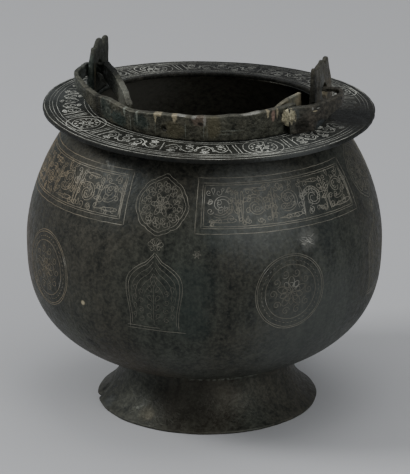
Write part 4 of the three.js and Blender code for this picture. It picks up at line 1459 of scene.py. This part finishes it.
def line_finish(name, pale, warm, bare, fades, glints=()):
    """Old inlay and dust left in the engraving: pale grey-green, warmer to the left, worn away to the
    bare bronze in patches and in the places that ``fades`` lists, and bright at ``glints``."""
    recipe = Recipe(name)
    tone = recipe.blend(pale, warm, recipe.axis("X").step(-0.02, -0.07))
    patches = recipe.noise(52.0, 4.0, 0.6).step(0.36, 0.64)
    fine = recipe.noise(520.0, 3.0, 0.6).step(0.30, 0.66)
    keep = patches * 0.55 + 0.10 + fine * 0.40
    for centre, radius, strength in fades:
        keep = keep * (1 - recipe.spot(centre, radius, 0.2) * strength)
    shade = recipe.blend(bare, tone, keep.clamped())
    for centre, radius, strength in glints:
        shade = recipe.blend(shade, WHITE, (recipe.spot(centre, radius, 0.4) * strength).clamped())
    return recipe.finish(shade, 0.5 + fine * 0.2, 0.3, recipe.bump(fine, 0.4, 0.0003))


# Tints of the marks on the bronze, and of the light and shade painted on it
CREAM = (0.42, 0.37, 0.25)
PALE = (0.24, 0.26, 0.22)
PINK = (0.30, 0.205, 0.16)
WHITE = (0.42, 0.42, 0.38)
TEAL = (0.036, 0.058, 0.053)
DEEP_TEAL = (0.018, 0.033, 0.032)
OLIVE = (0.15, 0.135, 0.08)
PAINTED_LIGHT_GREY = (0.22, 0.225, 0.19)
SLATE = (0.12, 0.13, 0.125)
DARK = (0.006, 0.007, 0.006)
BLUISH = (0.042, 0.052, 0.055)
BROWN = (0.085, 0.058, 0.036)


def marked(recipe, patches=(), spots=()):
    """Turns lists of marks into tints, strengths and masks."""
    for tint, strength, *place in patches:
        yield tint, strength, recipe.patch(*place)
    for tint, strength, centre, radius in spots:
        yield tint, strength, recipe.spot(centre, radius)


def masked(mask, marks):
    """The same marks, kept to where the mask is 1."""
    for tint, strength, place in marks:
        yield tint, strength, place * mask


def bowl_marks_and_painted_light(recipe):
    yield from marked(recipe, spots=(
        # Partly a brown tone and partly painted shade, darkening the lamp-lit left of the belly
        (BROWN, 0.55, (-92, -30, 90), 40),
        (BROWN, 0.25, (-20, -60, 40), 45),
        (BLUISH, 0.35, (-20, -90, 150), 30),
        (DEEP_TEAL, 0.30, (26, -96, 100), 20),
        (DEEP_TEAL, 0.30, (27, -96, 80), 15),
        (DEEP_TEAL, 0.25, (40, -86, 130), 14),
        (BLUISH, 0.25, (82, -50, 128), 26),
        # Painted highlight on the right of the shoulder
        (SLATE, 0.42, (56, -70, 143), 42),
        # Painted reflection of the floor on the lower right of the belly
        (SLATE, 0.36, (78, -50, 70), 52),
        (DARK, 0.75, (-36, -85, 58), 4.5),
        (DARK, 0.60, (-32, -85, 56), 3.5),
        (DARK, 0.8, (41.2, -88.4, 70.5), 1.2),
        (WHITE, 0.16, (78.8, -55.2, 121.5), 8.0),
    ))
    # A small bright dot: painted highlight
    yield CREAM, 1.0, recipe.spot((-37.3, -92.4, 83), 1.8, 0.1)
    inside = recipe.value("wear")
    # Painted light on the left of the inner wall
    yield WHITE, 0.5, recipe.spot((-52, 34, 150), 46) * inside
    # Painted shade on the inner wall just under the rim, at the back on the right
    yield DARK, 1.0, recipe.spot((46, 44, 167), 46, 0.1) * (inside * 3).clamped()


def rim_marks_and_painted_shade(recipe):
    # Painted shade on the rim's outer edge face
    yield DARK, 0.72, recipe.value("edge_face")
    yield from marked(recipe, spots=(
        (DARK, 0.8, (84, 10, 174), 22),
        (DARK, 0.4, (88, 34, 174), 26),
        (DARK, 0.7, (0, 80, 176), 75),
        (SLATE, 0.45, (66, -50, 174), 34),
        (SLATE, 0.4, (-86, -15, 175), 18),
    ))


def foot_marks_and_painted_light(recipe):
    yield from marked(recipe, spots=(
        # Painted highlight on the left of the foot
        (CREAM, 0.08, (-15, -54, 6), 7),
        (CREAM, 0.06, (-13, -55, 5.5), 4),
        (BROWN, 0.22, (16, -52, 12), 34),
        # Painted shade on the foot's upper front, under the belly
        (DARK, 0.40, (4, -50, 18), 30),
        (SLATE, 0.4, (-46, -40, 6), 8),
        (DARK, 0.95, (-53.2, -29.2, 1.4), 3.0),
        (DARK, 0.9, (-52.9, -22.0, 4.2), 2.2),
        (DARK, 0.8, (-51.4, -20.3, 6.2), 1.8),
    ))
    height = recipe.axis("Z")
    seam = height.step(0.0258, 0.0272) * (1 - height.step(0.0276, 0.0284))
    yield PALE, 0.5, seam * recipe.crumble().step(0.40, 0.62)


def lug_marks_and_painted_light(recipe):
    """Across is the Y of a lug's point and high is its height over the rim, both in mm. A third value
    tells the left lug from the right one."""
    left = 1 - recipe.value("inner")
    right = recipe.value("inner")
    yield from masked(left, marked(recipe, (
        (TEAL, 0.4, -12.6, 17, 2.6, 24, 0.3),
        # Painted light on the front part of the left lug's inner face
        (CREAM, 0.32, -9.3, 13, 1.1, 9, 0.4),
        # Painted shade in a slit below the hole
        (DARK, 0.95, -3.6, 9.0, 0.7, 6.0, 0.25),
        (DARK, 0.5, 4.0, 8.0, 5.0, 7.0, 0.3),
    )))
    yield from masked(right, marked(recipe, (
        # Painted shade along the front edge and low on the front of the right lug, beside the stump
        (DARK, 0.8, -19.0, 14, 3.2, 24, 0.3),
        (DARK, 0.5, -13.0, 5, 6.0, 6, 0.5),
        (SLATE, 0.5, -7.0, 20, 5.0, 9, 0.6),
        (CREAM, 0.35, 1.5, 13.5, 1.6, 3.5, 0.4),
    )))


def band_marks_and_painted_light(recipe):
    """Across is the angle from the front in degrees and high is the height over the rim in mm."""
    outer = 1 - recipe.value("inner")
    yield from masked(outer, marked(recipe, (
        (TEAL, 0.75, -28.0, 4.0, 6.0, 5.0, 0.5),
        (TEAL, 0.55, -38.0, 6.0, 6.0, 8.0, 0.5),
        (TEAL, 0.5, -14.0, 6.0, 5.0, 5.0, 0.5),
        (DARK, 0.6, -44.0, 6.0, 5.0, 8.0, 0.5),
        (OLIVE, 0.55, 21.5, 8.0, 4.0, 8.0, 0.4),
        (OLIVE, 0.45, 3.0, 5.0, 6.0, 6.0, 0.6),
        (PINK, 0.30, 14.8, 11.5, 3.6, 3.6, 0.9),
        (WHITE, 0.55, 12.6, 13.4, 1.5, 1.3, 1.1),
        (WHITE, 0.5, 17.5, 11.0, 0.8, 3.0, 1.1),
        (DARK, 0.8, 15.5, 9.8, 1.6, 1.2, 0.9),
        (PALE, 0.8, -23.5, 10.4, 1.6, 4.2, 0.6, 0.8),
        (PALE, 0.75, -16.0, 10.0, 0.9, 6.0, 0.5, 0.4),
        (CREAM, 0.8, -6.0, 11.8, 1.5, 4.6, 0.7, 0.8),
        (CREAM, 0.8, -4.2, 13.0, 1.6, 1.8, 0.8),
        (CREAM, 1.0, 3.5, 13.0, 2.4, 4.2, 0.6, 0.7),
        (WHITE, 0.7, 7.0, 14.2, 3.0, 1.3, 0.8),
        (PALE, 0.5, -20.0, 5.2, 0.28, 6.0, 0.2),
        (PALE, 0.35, -10.5, 6.0, 0.25, 5.0, 0.2),
        (PALE, 0.35, -6.3, 5.0, 0.22, 4.5, 0.2),
        (PALE, 0.55, 8.5, 5.2, 0.28, 5.0, 0.2),
        (PALE, 0.45, 17.0, 5.5, 0.25, 5.0, 0.2),
        (PALE, 0.40, 18.6, 5.0, 0.22, 5.0, 0.2),
        (PALE, 0.35, 29.5, 5.6, 6.5, 0.5, 0.5),
        (PALE, 0.35, 28.0, 3.8, 5.0, 0.4, 0.5),
        (WHITE, 0.6, 39.0, 15.0, 6.0, 1.4, 1.0),
        (CREAM, 0.75, 47.6, 13.6, 1.4, 3.4, 0.4, 0.8),
        (PINK, 0.75, 50.4, 11.5, 1.6, 4.0, 0.5, 0.4),
        (CREAM, 0.6, 52.6, 12.5, 1.0, 3.4, 0.5, 0.6),
        (DARK, 0.9, 59.0, 3.0, 3.4, 3.6, 0.4),
        (PALE, 0.45, -41.0, 7.7, 0.3, 5.0, 0.2),
        # Painted shade in and round the drilled hole
        (DARK, 0.95, -2.0, 5.0, 1.9, 2.2, 0.15),
    )))
    for across, high, size in ((-35.5, 5.8, 2.6), (-35.0, 12.0, 2.2), (-30.5, 9.5, 1.7)):
        disc = recipe.patch(across, high, size, size, 0.1)
        core = recipe.patch(across, high, size * 0.72, size * 0.72, 0.1)
        yield PALE, 0.45, (disc - core) * outer
    yield from masked(recipe.value("inner"), marked(recipe, spots=(
        # Painted shade on the upper part of the tongue and painted light on its lower face; the pink tip is
        # its own colour
        (DARK, 0.95, (-53, -14, 189), 24),
        (PAINTED_LIGHT_GREY, 0.8, (-36, -41, 184), 15),
        (PINK, 0.85, (-28.5, -53, 182), 4.5),
    )))
    yield from masked(outer, marked(recipe, spots=(
        # Painted light on the leg beside the left lug, and painted shade where the band turns into the leg
        (SLATE, 0.7, (-70, -12, 186), 11),
        (DARK, 0.6, (-63, -40, 181), 9),
    )))


# Pale spots over the stump's end: painted light
def stump_painted_light(recipe):
    return marked(recipe, spots=((PALE, 0.7, (58, -14, 187), 13), (CREAM, 0.8, (58.5, -14, 186), 8)))


def strap_marks_and_painted_light(recipe):
    return marked(recipe, (
        # Painted highlights along the strap's top edge
        (CREAM, 0.75, 67.6, 12.0, 1.3, 0.45, 0.3),
        (WHITE, 0.65, 69.0, 13.3, 0.9, 0.4, 0.3),
        (WHITE, 0.5, 66.4, 13.6, 0.5, 1.0, 0.4),
        (BLUISH, 0.75, 71.0, 2.5, 3.4, 4.6, 0.4),
        (DARK, 0.6, 63.0, 4.0, 3.0, 5.0, 0.5),
        # Painted shadow in the gap between the hook and the right lug
        (DARK, 0.95, 82.0, 14.6, 0.8, 0.9, 0.2),
        (SLATE, 0.5, 60.0, 11.0, 2.0, 4.0, 0.5),
    ))


# Operators


class PAIL_OT_bowl(bpy.types.Operator):
    """Builds the bowl's wall"""

    bl_idname = "pail.bowl"
    bl_label = "Bowl"

    def execute(self, context):
        brown, green = colour("patina_brown"), colour("patina_green")
        material = patina("bowl_patina", brown, green, 1.0, 0.35, bowl_marks_and_painted_light)
        surface, inner = bowl_skin()
        # The inner wall carries 1 as its wear, so the whole inside turns towards the worn-metal colour:
        # partly dust, partly painted light in the mouth
        make_piece("bowl_wall", surface, material, "vessel", "bowl_bronze", ["bowl"], wear=inner)
        return {"FINISHED"}


class PAIL_OT_rim(bpy.types.Operator):
    """Builds the flat rim"""

    bl_idname = "pail.rim"
    bl_label = "Rim"

    def execute(self, context):
        surface, wear, edge_face = rim_skin()
        brown, green = colour("rim_brown"), colour("rim_green")
        material = patina("rim_patina", brown, green, 0.6, 0.5, rim_marks_and_painted_shade, streak=0.0)
        make_piece(
            "rim_plate", surface, material, "vessel", "rim_bronze", ["rim_ring"], wear=wear,
            edge_face=edge_face,
        )
        return {"FINISHED"}


class PAIL_OT_foot(bpy.types.Operator):
    """Builds the flared foot"""

    bl_idname = "pail.foot"
    bl_label = "Foot"

    def execute(self, context):
        surface, wear = foot_skin()
        brown, green = colour("patina_brown"), colour("patina_green")
        material = patina("foot_patina", brown, green, 0.35, 0.4, foot_marks_and_painted_light)
        make_piece("foot_flare", surface, material, "vessel", "foot_bronze", ["foot_ring"], wear=wear)
        return {"FINISHED"}


class PAIL_OT_lugs(bpy.types.Operator):
    """Builds the two pronged lugs"""

    bl_idname = "pail.lugs"
    bl_label = "Lugs"

    def execute(self, context):
        brown, green = colour("lug_brown"), colour("lug_green")
        material = patina("lug_patina", brown, green, 0.25, 0.8, lug_marks_and_painted_light, streak=0.1)
        for name, lug in LUGS.items():
            surface, wear = lug_skin(lug)
            make_piece(
                name + "_plate", surface, material, "vessel", "lug_bronze", [name], wear=wear,
                across=surface[0][:, 1] - RIM_LEAN * LEAN[1], high=surface[0][:, 2] - RIM_EDGE_HEIGHT,
                inner=max(lug["side"], 0),
            )
        return {"FINISHED"}


def bail_patina(name, brown, green, marks, wear_strength=0.5):
    """The rougher bronze of the bail."""
    return patina(name, brown, green, wear_strength, 0.9, marks, (0.36, 0.62), 0.18)


class PAIL_OT_band(bpy.types.Operator):
    """Builds the bail's band with its leg, hook and tongue"""

    bl_idname = "pail.band"
    bl_label = "Band"

    def execute(self, context):
        depth = engraving("forging_depth")
        route = smooth_route(band_route(), 18)
        surface, wear = strip_skin(route, section(22, 6), 0.7, depth, 51, edge_dents=0.5)
        material = bail_patina("band_patina", colour("bail_brown"), colour("bail_green"), band_marks_and_painted_light)
        piece = make_piece(
            "bail_band_strip", surface, material, "bail", "band_bronze", ["bail_band"], wear=wear,
            **bail_spots(surface),
        )
        drill_band(piece)
        return {"FINISHED"}


def drill_band(piece):
    """Cuts the small hole through the band with a Boolean, and keeps the result as the piece's mesh."""
    angle = np.linspace(0, FULL_TURN, 40, endpoint=False)
    rise = resting_edge(ARCH_INNER, BAND_HOLE_ANGLE) + BAND_HOLE_RISE
    ends = []
    for radius in (ARCH_CENTRE - BAND_THICKNESS * 1.5, ARCH_CENTRE + BAND_THICKNESS * 1.5):
        turn = BAND_HOLE_ANGLE + BAND_HOLE_RADIUS * np.cos(angle) / radius
        x = radius * np.sin(turn)
        y = HINGE_AHEAD - radius * np.cos(turn)
        ends.append(np.stack([x, y, rise + BAND_HOLE_RADIUS * np.sin(angle)], -1))
    bore = skin(bail_place(np.array(ends)))
    drill = make_piece("drill", bore, piece.data.materials[0], "bail", "band_bronze")
    cut = piece.modifiers.new("hole", "BOOLEAN")
    cut.operation = "DIFFERENCE"
    cut.solver = "EXACT"
    cut.object = drill
    graph = bpy.context.evaluated_depsgraph_get()
    drilled = bpy.data.meshes.new_from_object(piece.evaluated_get(graph))
    piece.modifiers.clear()
    piece.data = drilled
    bpy.data.objects.remove(drill)


class PAIL_OT_strap(bpy.types.Operator):
    """Builds the repair strap at the right lug"""

    bl_idname = "pail.strap"
    bl_label = "Repair strap"

    def execute(self, context):
        depth = engraving("forging_depth")
        route = smooth_route(strap_route(), 18)
        surface, wear = strip_skin(route, section(22, 6), 0.6, depth * 0.7, 61, edge_dents=0.2)
        brown, green = colour("strap_brown"), colour("bail_green")
        material = bail_patina("strap_patina", brown, green, strap_marks_and_painted_light, 0.12)
        make_piece(
            "repair_strap", surface, material, "bail", "strap_bronze", ["bail_strap"], wear=wear,
            **bail_spots(surface),
        )
        return {"FINISHED"}


class PAIL_OT_stump(bpy.types.Operator):
    """Builds the stump of the broken tongue"""

    bl_idname = "pail.stump"
    bl_label = "Tongue stump"

    def execute(self, context):
        depth = engraving("forging_depth")
        route = smooth_route(stump_route(), 30)
        surface, wear = strip_skin(route, section(18, 6), 0.6, depth, 71, edge_dents=0.3)
        material = bail_patina("stump_patina", colour("stump_tan"), colour("bail_brown"), stump_painted_light)
        make_piece("broken_tongue", surface, material, "bail", "worn_bronze", ["tongue_stump"], wear=wear)
        return {"FINISHED"}


class PAIL_OT_solder(bpy.types.Operator):
    """Builds the crumbly solder over the lap"""

    bl_idname = "pail.solder"
    bl_label = "Solder"

    def execute(self, context):
        recipe = Recipe("solder_crust")
        crumbs = recipe.noise(520.0, 5.0, 0.7).step(0.36, 0.62)
        pits = recipe.noise(230.0, 4.0, 0.6, stretch=(1.0, 1.0, 0.4)).step(0.40, 0.60)
        # Dark in the low places of the crumbs and pits: painted shade in the crevices
        bright = (crumbs * 0.5 + pits * 0.75 - 0.15).clamped()
        shade = recipe.blend((0.025, 0.023, 0.018), colour("solder_pale"), bright)
        relief = recipe.bump(crumbs + pits, 1.0, 0.0007)
        material = recipe.finish(shade, 0.7 + crumbs * 0.15, 0.1, relief)
        make_piece("solder_crust", solder_skin(), material, "bail", "solder_crust", ["lap_solder"])
        return {"FINISHED"}


def panel_skin(index, width, rise):
    """One shoulder panel, fitted to where the hand set it out."""
    ends, lean = PANEL_FITS[index]
    radius = float(bowl_radius((PANEL_LOW + PANEL_HIGH) / 2))
    height = walk_between(PANEL_LOW, PANEL_HIGH)
    half_width = (math.pi / 4 - PANEL_EDGE) * radius
    place = bowl_place(ORNAMENT_TURN + (index + 0.5) * math.pi / 2, PANEL_LOW, radius)
    lines = fitted(panel_lines(half_width, height, 120 + index), half_width, height, ends, lean)
    return laid_lines(lines, place, width, rise, seed=20 + index)


def medallion_skins(index, width, rise):
    """A medallion, with the niche, the finial and the small rosette below it."""
    axis = ORNAMENT_TURN + index * math.pi / 2
    place = bowl_place(axis, MEDALLION_HEIGHT, float(bowl_radius(MEDALLION_HEIGHT)))
    lines = medallion_lines(MEDALLION_RADIUS, 1.1, -0.07)
    skins = [laid_lines(lines, place, width * 0.9, rise, seed=40 + index)]
    place = bowl_place(axis - NICHE_SHIFT, NICHE_BASE, BELLY_RADIUS)
    bold, faint = niche_lines(NICHE_HALF_WIDTH, walk_between(NICHE_BASE, NICHE_TIP))
    skins.append(laid_lines(bold, place, width * 0.75, rise, seed=50 + index))
    skins.append(laid_lines(faint, place, width * 0.42, rise, seed=54 + index))
    place = bowl_place(axis - NICHE_SHIFT, FINIAL_HEIGHT, BELLY_RADIUS)
    skins.append(laid_lines(finial_lines(FINIAL_SIZE), place, width * 0.5, rise))
    place = bowl_place(axis + ROSETTE_SHIFT, ROSETTE_HEIGHT, BELLY_RADIUS)
    rosette = rosette_line(0, 0, ROSETTE_RADIUS, 6, 0.4, 0, 60)
    skins.append(laid_lines([rosette], place, width * 0.5, rise))
    return skins


class PAIL_OT_bowl_lines(bpy.types.Operator):
    """Lays the engraved lines on the bowl"""

    bl_idname = "pail.bowl_lines"
    bl_label = "Bowl engraving"

    def execute(self, context):
        width, rise = engraving("line_width"), engraving("line_rise")
        pale, warm, bare = colour("line_grey"), colour("line_tan"), colour("patina_brown")
        material = line_finish("bowl_line_inlay", pale, warm, bare, BOWL_LINE_FADES, BOWL_LINE_GLINTS)
        panels = [panel_skin(index, width, rise) for index in range(4)]
        roundels = []
        for index, angle in enumerate(ROUNDELS):
            place = bowl_place(angle, ROUNDEL_HEIGHT, BELLY_RADIUS)
            lines = roundel_lines(ROUNDEL_RADIUS)
            roundels.append(laid_lines(lines, place, width * 0.8, rise, seed=30 + index))
        badges = []
        for index in range(4):
            badges += medallion_skins(index, width, rise)
        badges.append(scuff_lines(width * 0.7, rise))
        for name, skins in (
            ("panel_lines", [panels[0], panels[3]]),
            ("panel_lines_back", panels[1:3]),
            ("roundel_lines", roundels),
            ("medallion_lines", badges),
        ):
            make_piece(name, joined(skins), material, "vessel", "bowl_bronze")
        return {"FINISHED"}


def scuff_lines(width, rise):
    """A patch of short light scratches under the right-hand panel."""
    source = np.random.default_rng(5)
    lines = []
    for _ in range(26):
        x, y = source.normal(0, 2.6), source.normal(0, 1.3)
        heading = source.normal(-0.35, 0.35)
        length = source.uniform(1.5, 4.5)
        lines.append(straight_line(x, y, x + length * math.cos(heading), y + length * math.sin(heading)))
    return laid_lines(lines, bowl_place(*SCUFF, BELLY_RADIUS), width, rise)


def walk_between(low, high):
    """Distance up the bowl's outside between two heights."""
    heights, _, walked, _, _ = BOWL_TABLE
    return float(np.interp(high, heights, walked) - np.interp(low, heights, walked))


class PAIL_OT_rim_lines(bpy.types.Operator):
    """Lays the engraved lines on the rim"""

    bl_idname = "pail.rim_lines"
    bl_label = "Rim engraving"

    def execute(self, context):
        width, rise = engraving("rim_line_width"), engraving("line_rise")
        pale = colour("line_rim")
        material = line_finish("rim_line_inlay", pale, pale, colour("patina_dark"), RIM_LINE_FADES)
        centre = RIM_ROUNDEL_CENTRE
        low, high = centre - RIM_BAND_OUTER, centre - RIM_BAND_INNER
        full = math.pi * centre
        across = np.linspace(-full, full, 420)[:-1]
        lines = [np.stack([across, 0 * across + centre - radius], -1) for radius in RIM_LINES]
        skins = [laid_lines(lines, rim_place(0, centre), width * 0.55, rise, seed=61)]
        order = sorted(RIM_ROUNDELS)
        for index, angle in enumerate(order):
            after = order[(index + 1) % len(order)] + (FULL_TURN if index == len(order) - 1 else 0)
            gap = (RIM_ROUNDEL_RADIUS + 1.6) / centre
            half_width = ((after - angle) / 2 - gap) * centre
            skins.append(laid_lines(
                rim_panel_lines(half_width, low, high), rim_place((angle + after) / 2, centre),
                width, rise, seed=70 + index,
            ))
            badge = rim_roundel_lines(RIM_ROUNDEL_RADIUS)
            skins.append(laid_lines(badge, rim_place(angle, centre), width, rise, seed=80 + index))
        make_piece("rim_lines", joined(skins), material, "vessel", "rim_bronze")
        return {"FINISHED"}


class PAIL_OT_stage(bpy.types.Operator):
    """Makes the pale floor, the soft studio light and the camera"""

    bl_idname = "pail.stage"
    bl_label = "Studio"

    def execute(self, context):
        make_floor()
        make_lights()
        make_camera()
        return {"FINISHED"}


# Studio, in metres. The floor faces the camera.
CAMERA_PLACE = (0.61372, -1.72858, 0.7414)
CAMERA_TARGET = (0.000357, 0.000127, 0.0946)
CAMERA_LENS = 302.96
CAMERA_TURN = math.radians(19.5)
AIR_TINT = (0.965, 0.975, 1.0, 1.0)

LIGHTS = {
    "key": {"place": (-1.75, -0.75, 1.6), "size": 0.8, "watts": 28.0},
    "fill": {"place": (1.7, -1.1, 1.1), "size": 1.2, "watts": 13.5},
    "overhead": {"place": (0.2, 0.2, 2.3), "size": 1.6, "watts": 11.0},
}
LIGHT_TARGET = (0, 0, 0.12)
SKY_STRENGTH = 0.35


def make_floor():
    """One sheet: level near the pail, and bent up into a backdrop far behind it."""
    across = np.linspace(-6, 6, 25)
    walk = np.linspace(-5, 9, 57)
    bend_start, bend_radius = 3.2, 1.6
    turn = np.clip((walk - bend_start) / bend_radius, 0, math.pi / 2)
    past = np.maximum(walk - bend_start - bend_radius * math.pi / 2, 0)
    depth = np.where(walk < bend_start, walk, bend_start + bend_radius * np.sin(turn))
    height = bend_radius * (1 - np.cos(turn)) + past
    c, s = math.cos(CAMERA_TURN), math.sin(CAMERA_TURN)
    x = across[:, None] * c - depth[None] * s
    y = across[:, None] * s + depth[None] * c
    points = np.stack([x, y, np.broadcast_to(height, x.shape)], -1).reshape(-1, 3)
    rows = np.arange(len(across) - 1)[:, None] * len(walk)
    columns = np.arange(len(walk) - 1)[None]
    here = rows + columns
    quads = np.stack([here, here + len(walk), here + len(walk) + 1, here + 1], -1).reshape(-1, 4)
    mesh = bpy.data.meshes.new("studio_floor")
    mesh.from_pydata(points.tolist(), [], quads.tolist())
    mesh.polygons.foreach_set("use_smooth", np.ones(len(quads), bool))
    floor = bpy.data.objects.new("studio_floor", mesh)
    bpy.context.scene.collection.objects.link(floor)
    recipe = Recipe("studio_paper")
    tone = recipe.noise(2.0, 2.0)
    base = colour("floor")
    paper = recipe.blend(base, tuple(value * 0.97 for value in base), tone)
    mesh.materials.append(recipe.finish(paper, 0.9, 0.0, recipe.bump(tone, 0.02, 0.001), 0.2))


def aimed(thing, name, place, target):
    """Puts a light or a camera into the scene, turned towards a target."""
    made = bpy.data.objects.new(name, thing)
    made.location = place
    made.rotation_mode = "QUATERNION"
    made.rotation_quaternion = (Vector(target) - Vector(place)).to_track_quat("-Z", "Y")
    bpy.context.scene.collection.objects.link(made)
    return made


def make_lights():
    for name, light in LIGHTS.items():
        data = bpy.data.lights.new(name, "AREA")
        data.shape = "SQUARE"
        data.size = light["size"]
        data.energy = light["watts"]
        aimed(data, name, light["place"], LIGHT_TARGET)
    world = bpy.data.worlds.new("studio_air")
    world.use_nodes = True
    air = world.node_tree.nodes["Background"]
    air.inputs["Color"].default_value = AIR_TINT
    air.inputs["Strength"].default_value = SKY_STRENGTH
    bpy.context.scene.world = world


def make_camera():
    data = bpy.data.cameras.new("photo_view")
    data.sensor_fit = "HORIZONTAL"
    data.sensor_width = 36.0
    data.lens = CAMERA_LENS
    data.clip_start = 0.05
    data.clip_end = 50.0
    bpy.context.scene.camera = aimed(data, "photo_view", CAMERA_PLACE, CAMERA_TARGET)


STEPS = [
    PAIL_OT_bowl, PAIL_OT_rim, PAIL_OT_foot, PAIL_OT_lugs, PAIL_OT_band, PAIL_OT_strap, PAIL_OT_stump,
    PAIL_OT_solder, PAIL_OT_bowl_lines, PAIL_OT_rim_lines, PAIL_OT_stage,
]


class PAIL_PT_panel(bpy.types.Panel):
    """Lists the pail's pieces and their sizes and colours"""

    bl_idname = "PAIL_PT_panel"
    bl_label = "Bath pail"
    bl_space_type = "VIEW_3D"
    bl_region_type = "UI"
    bl_category = "Pail"

    def draw(self, context):
        layout = self.layout
        for group in (context.scene.pail_engraving, context.scene.pail_colours):
            for name in group.__annotations__:
                layout.prop(group, name)
        for step in STEPS:
            layout.operator(step.bl_idname)


CLASSES = [PailEngraving, PailColours, *STEPS, PAIL_PT_panel]


def register():
    for item in CLASSES:
        bpy.utils.register_class(item)
    bpy.types.Scene.pail_engraving = bpy.props.PointerProperty(type=PailEngraving)
    bpy.types.Scene.pail_colours = bpy.props.PointerProperty(type=PailColours)


def unregister():
    del bpy.types.Scene.pail_colours
    del bpy.types.Scene.pail_engraving
    for item in reversed(CLASSES):
        bpy.utils.unregister_class(item)


def main():
    register()
    for step in STEPS:
        group, name = step.bl_idname.split(".")
        result = getattr(getattr(bpy.ops, group), name)()
        if result != {"FINISHED"}:
            raise RuntimeError(step.bl_label + " was not finished")


if __name__ == "__main__":
    main()
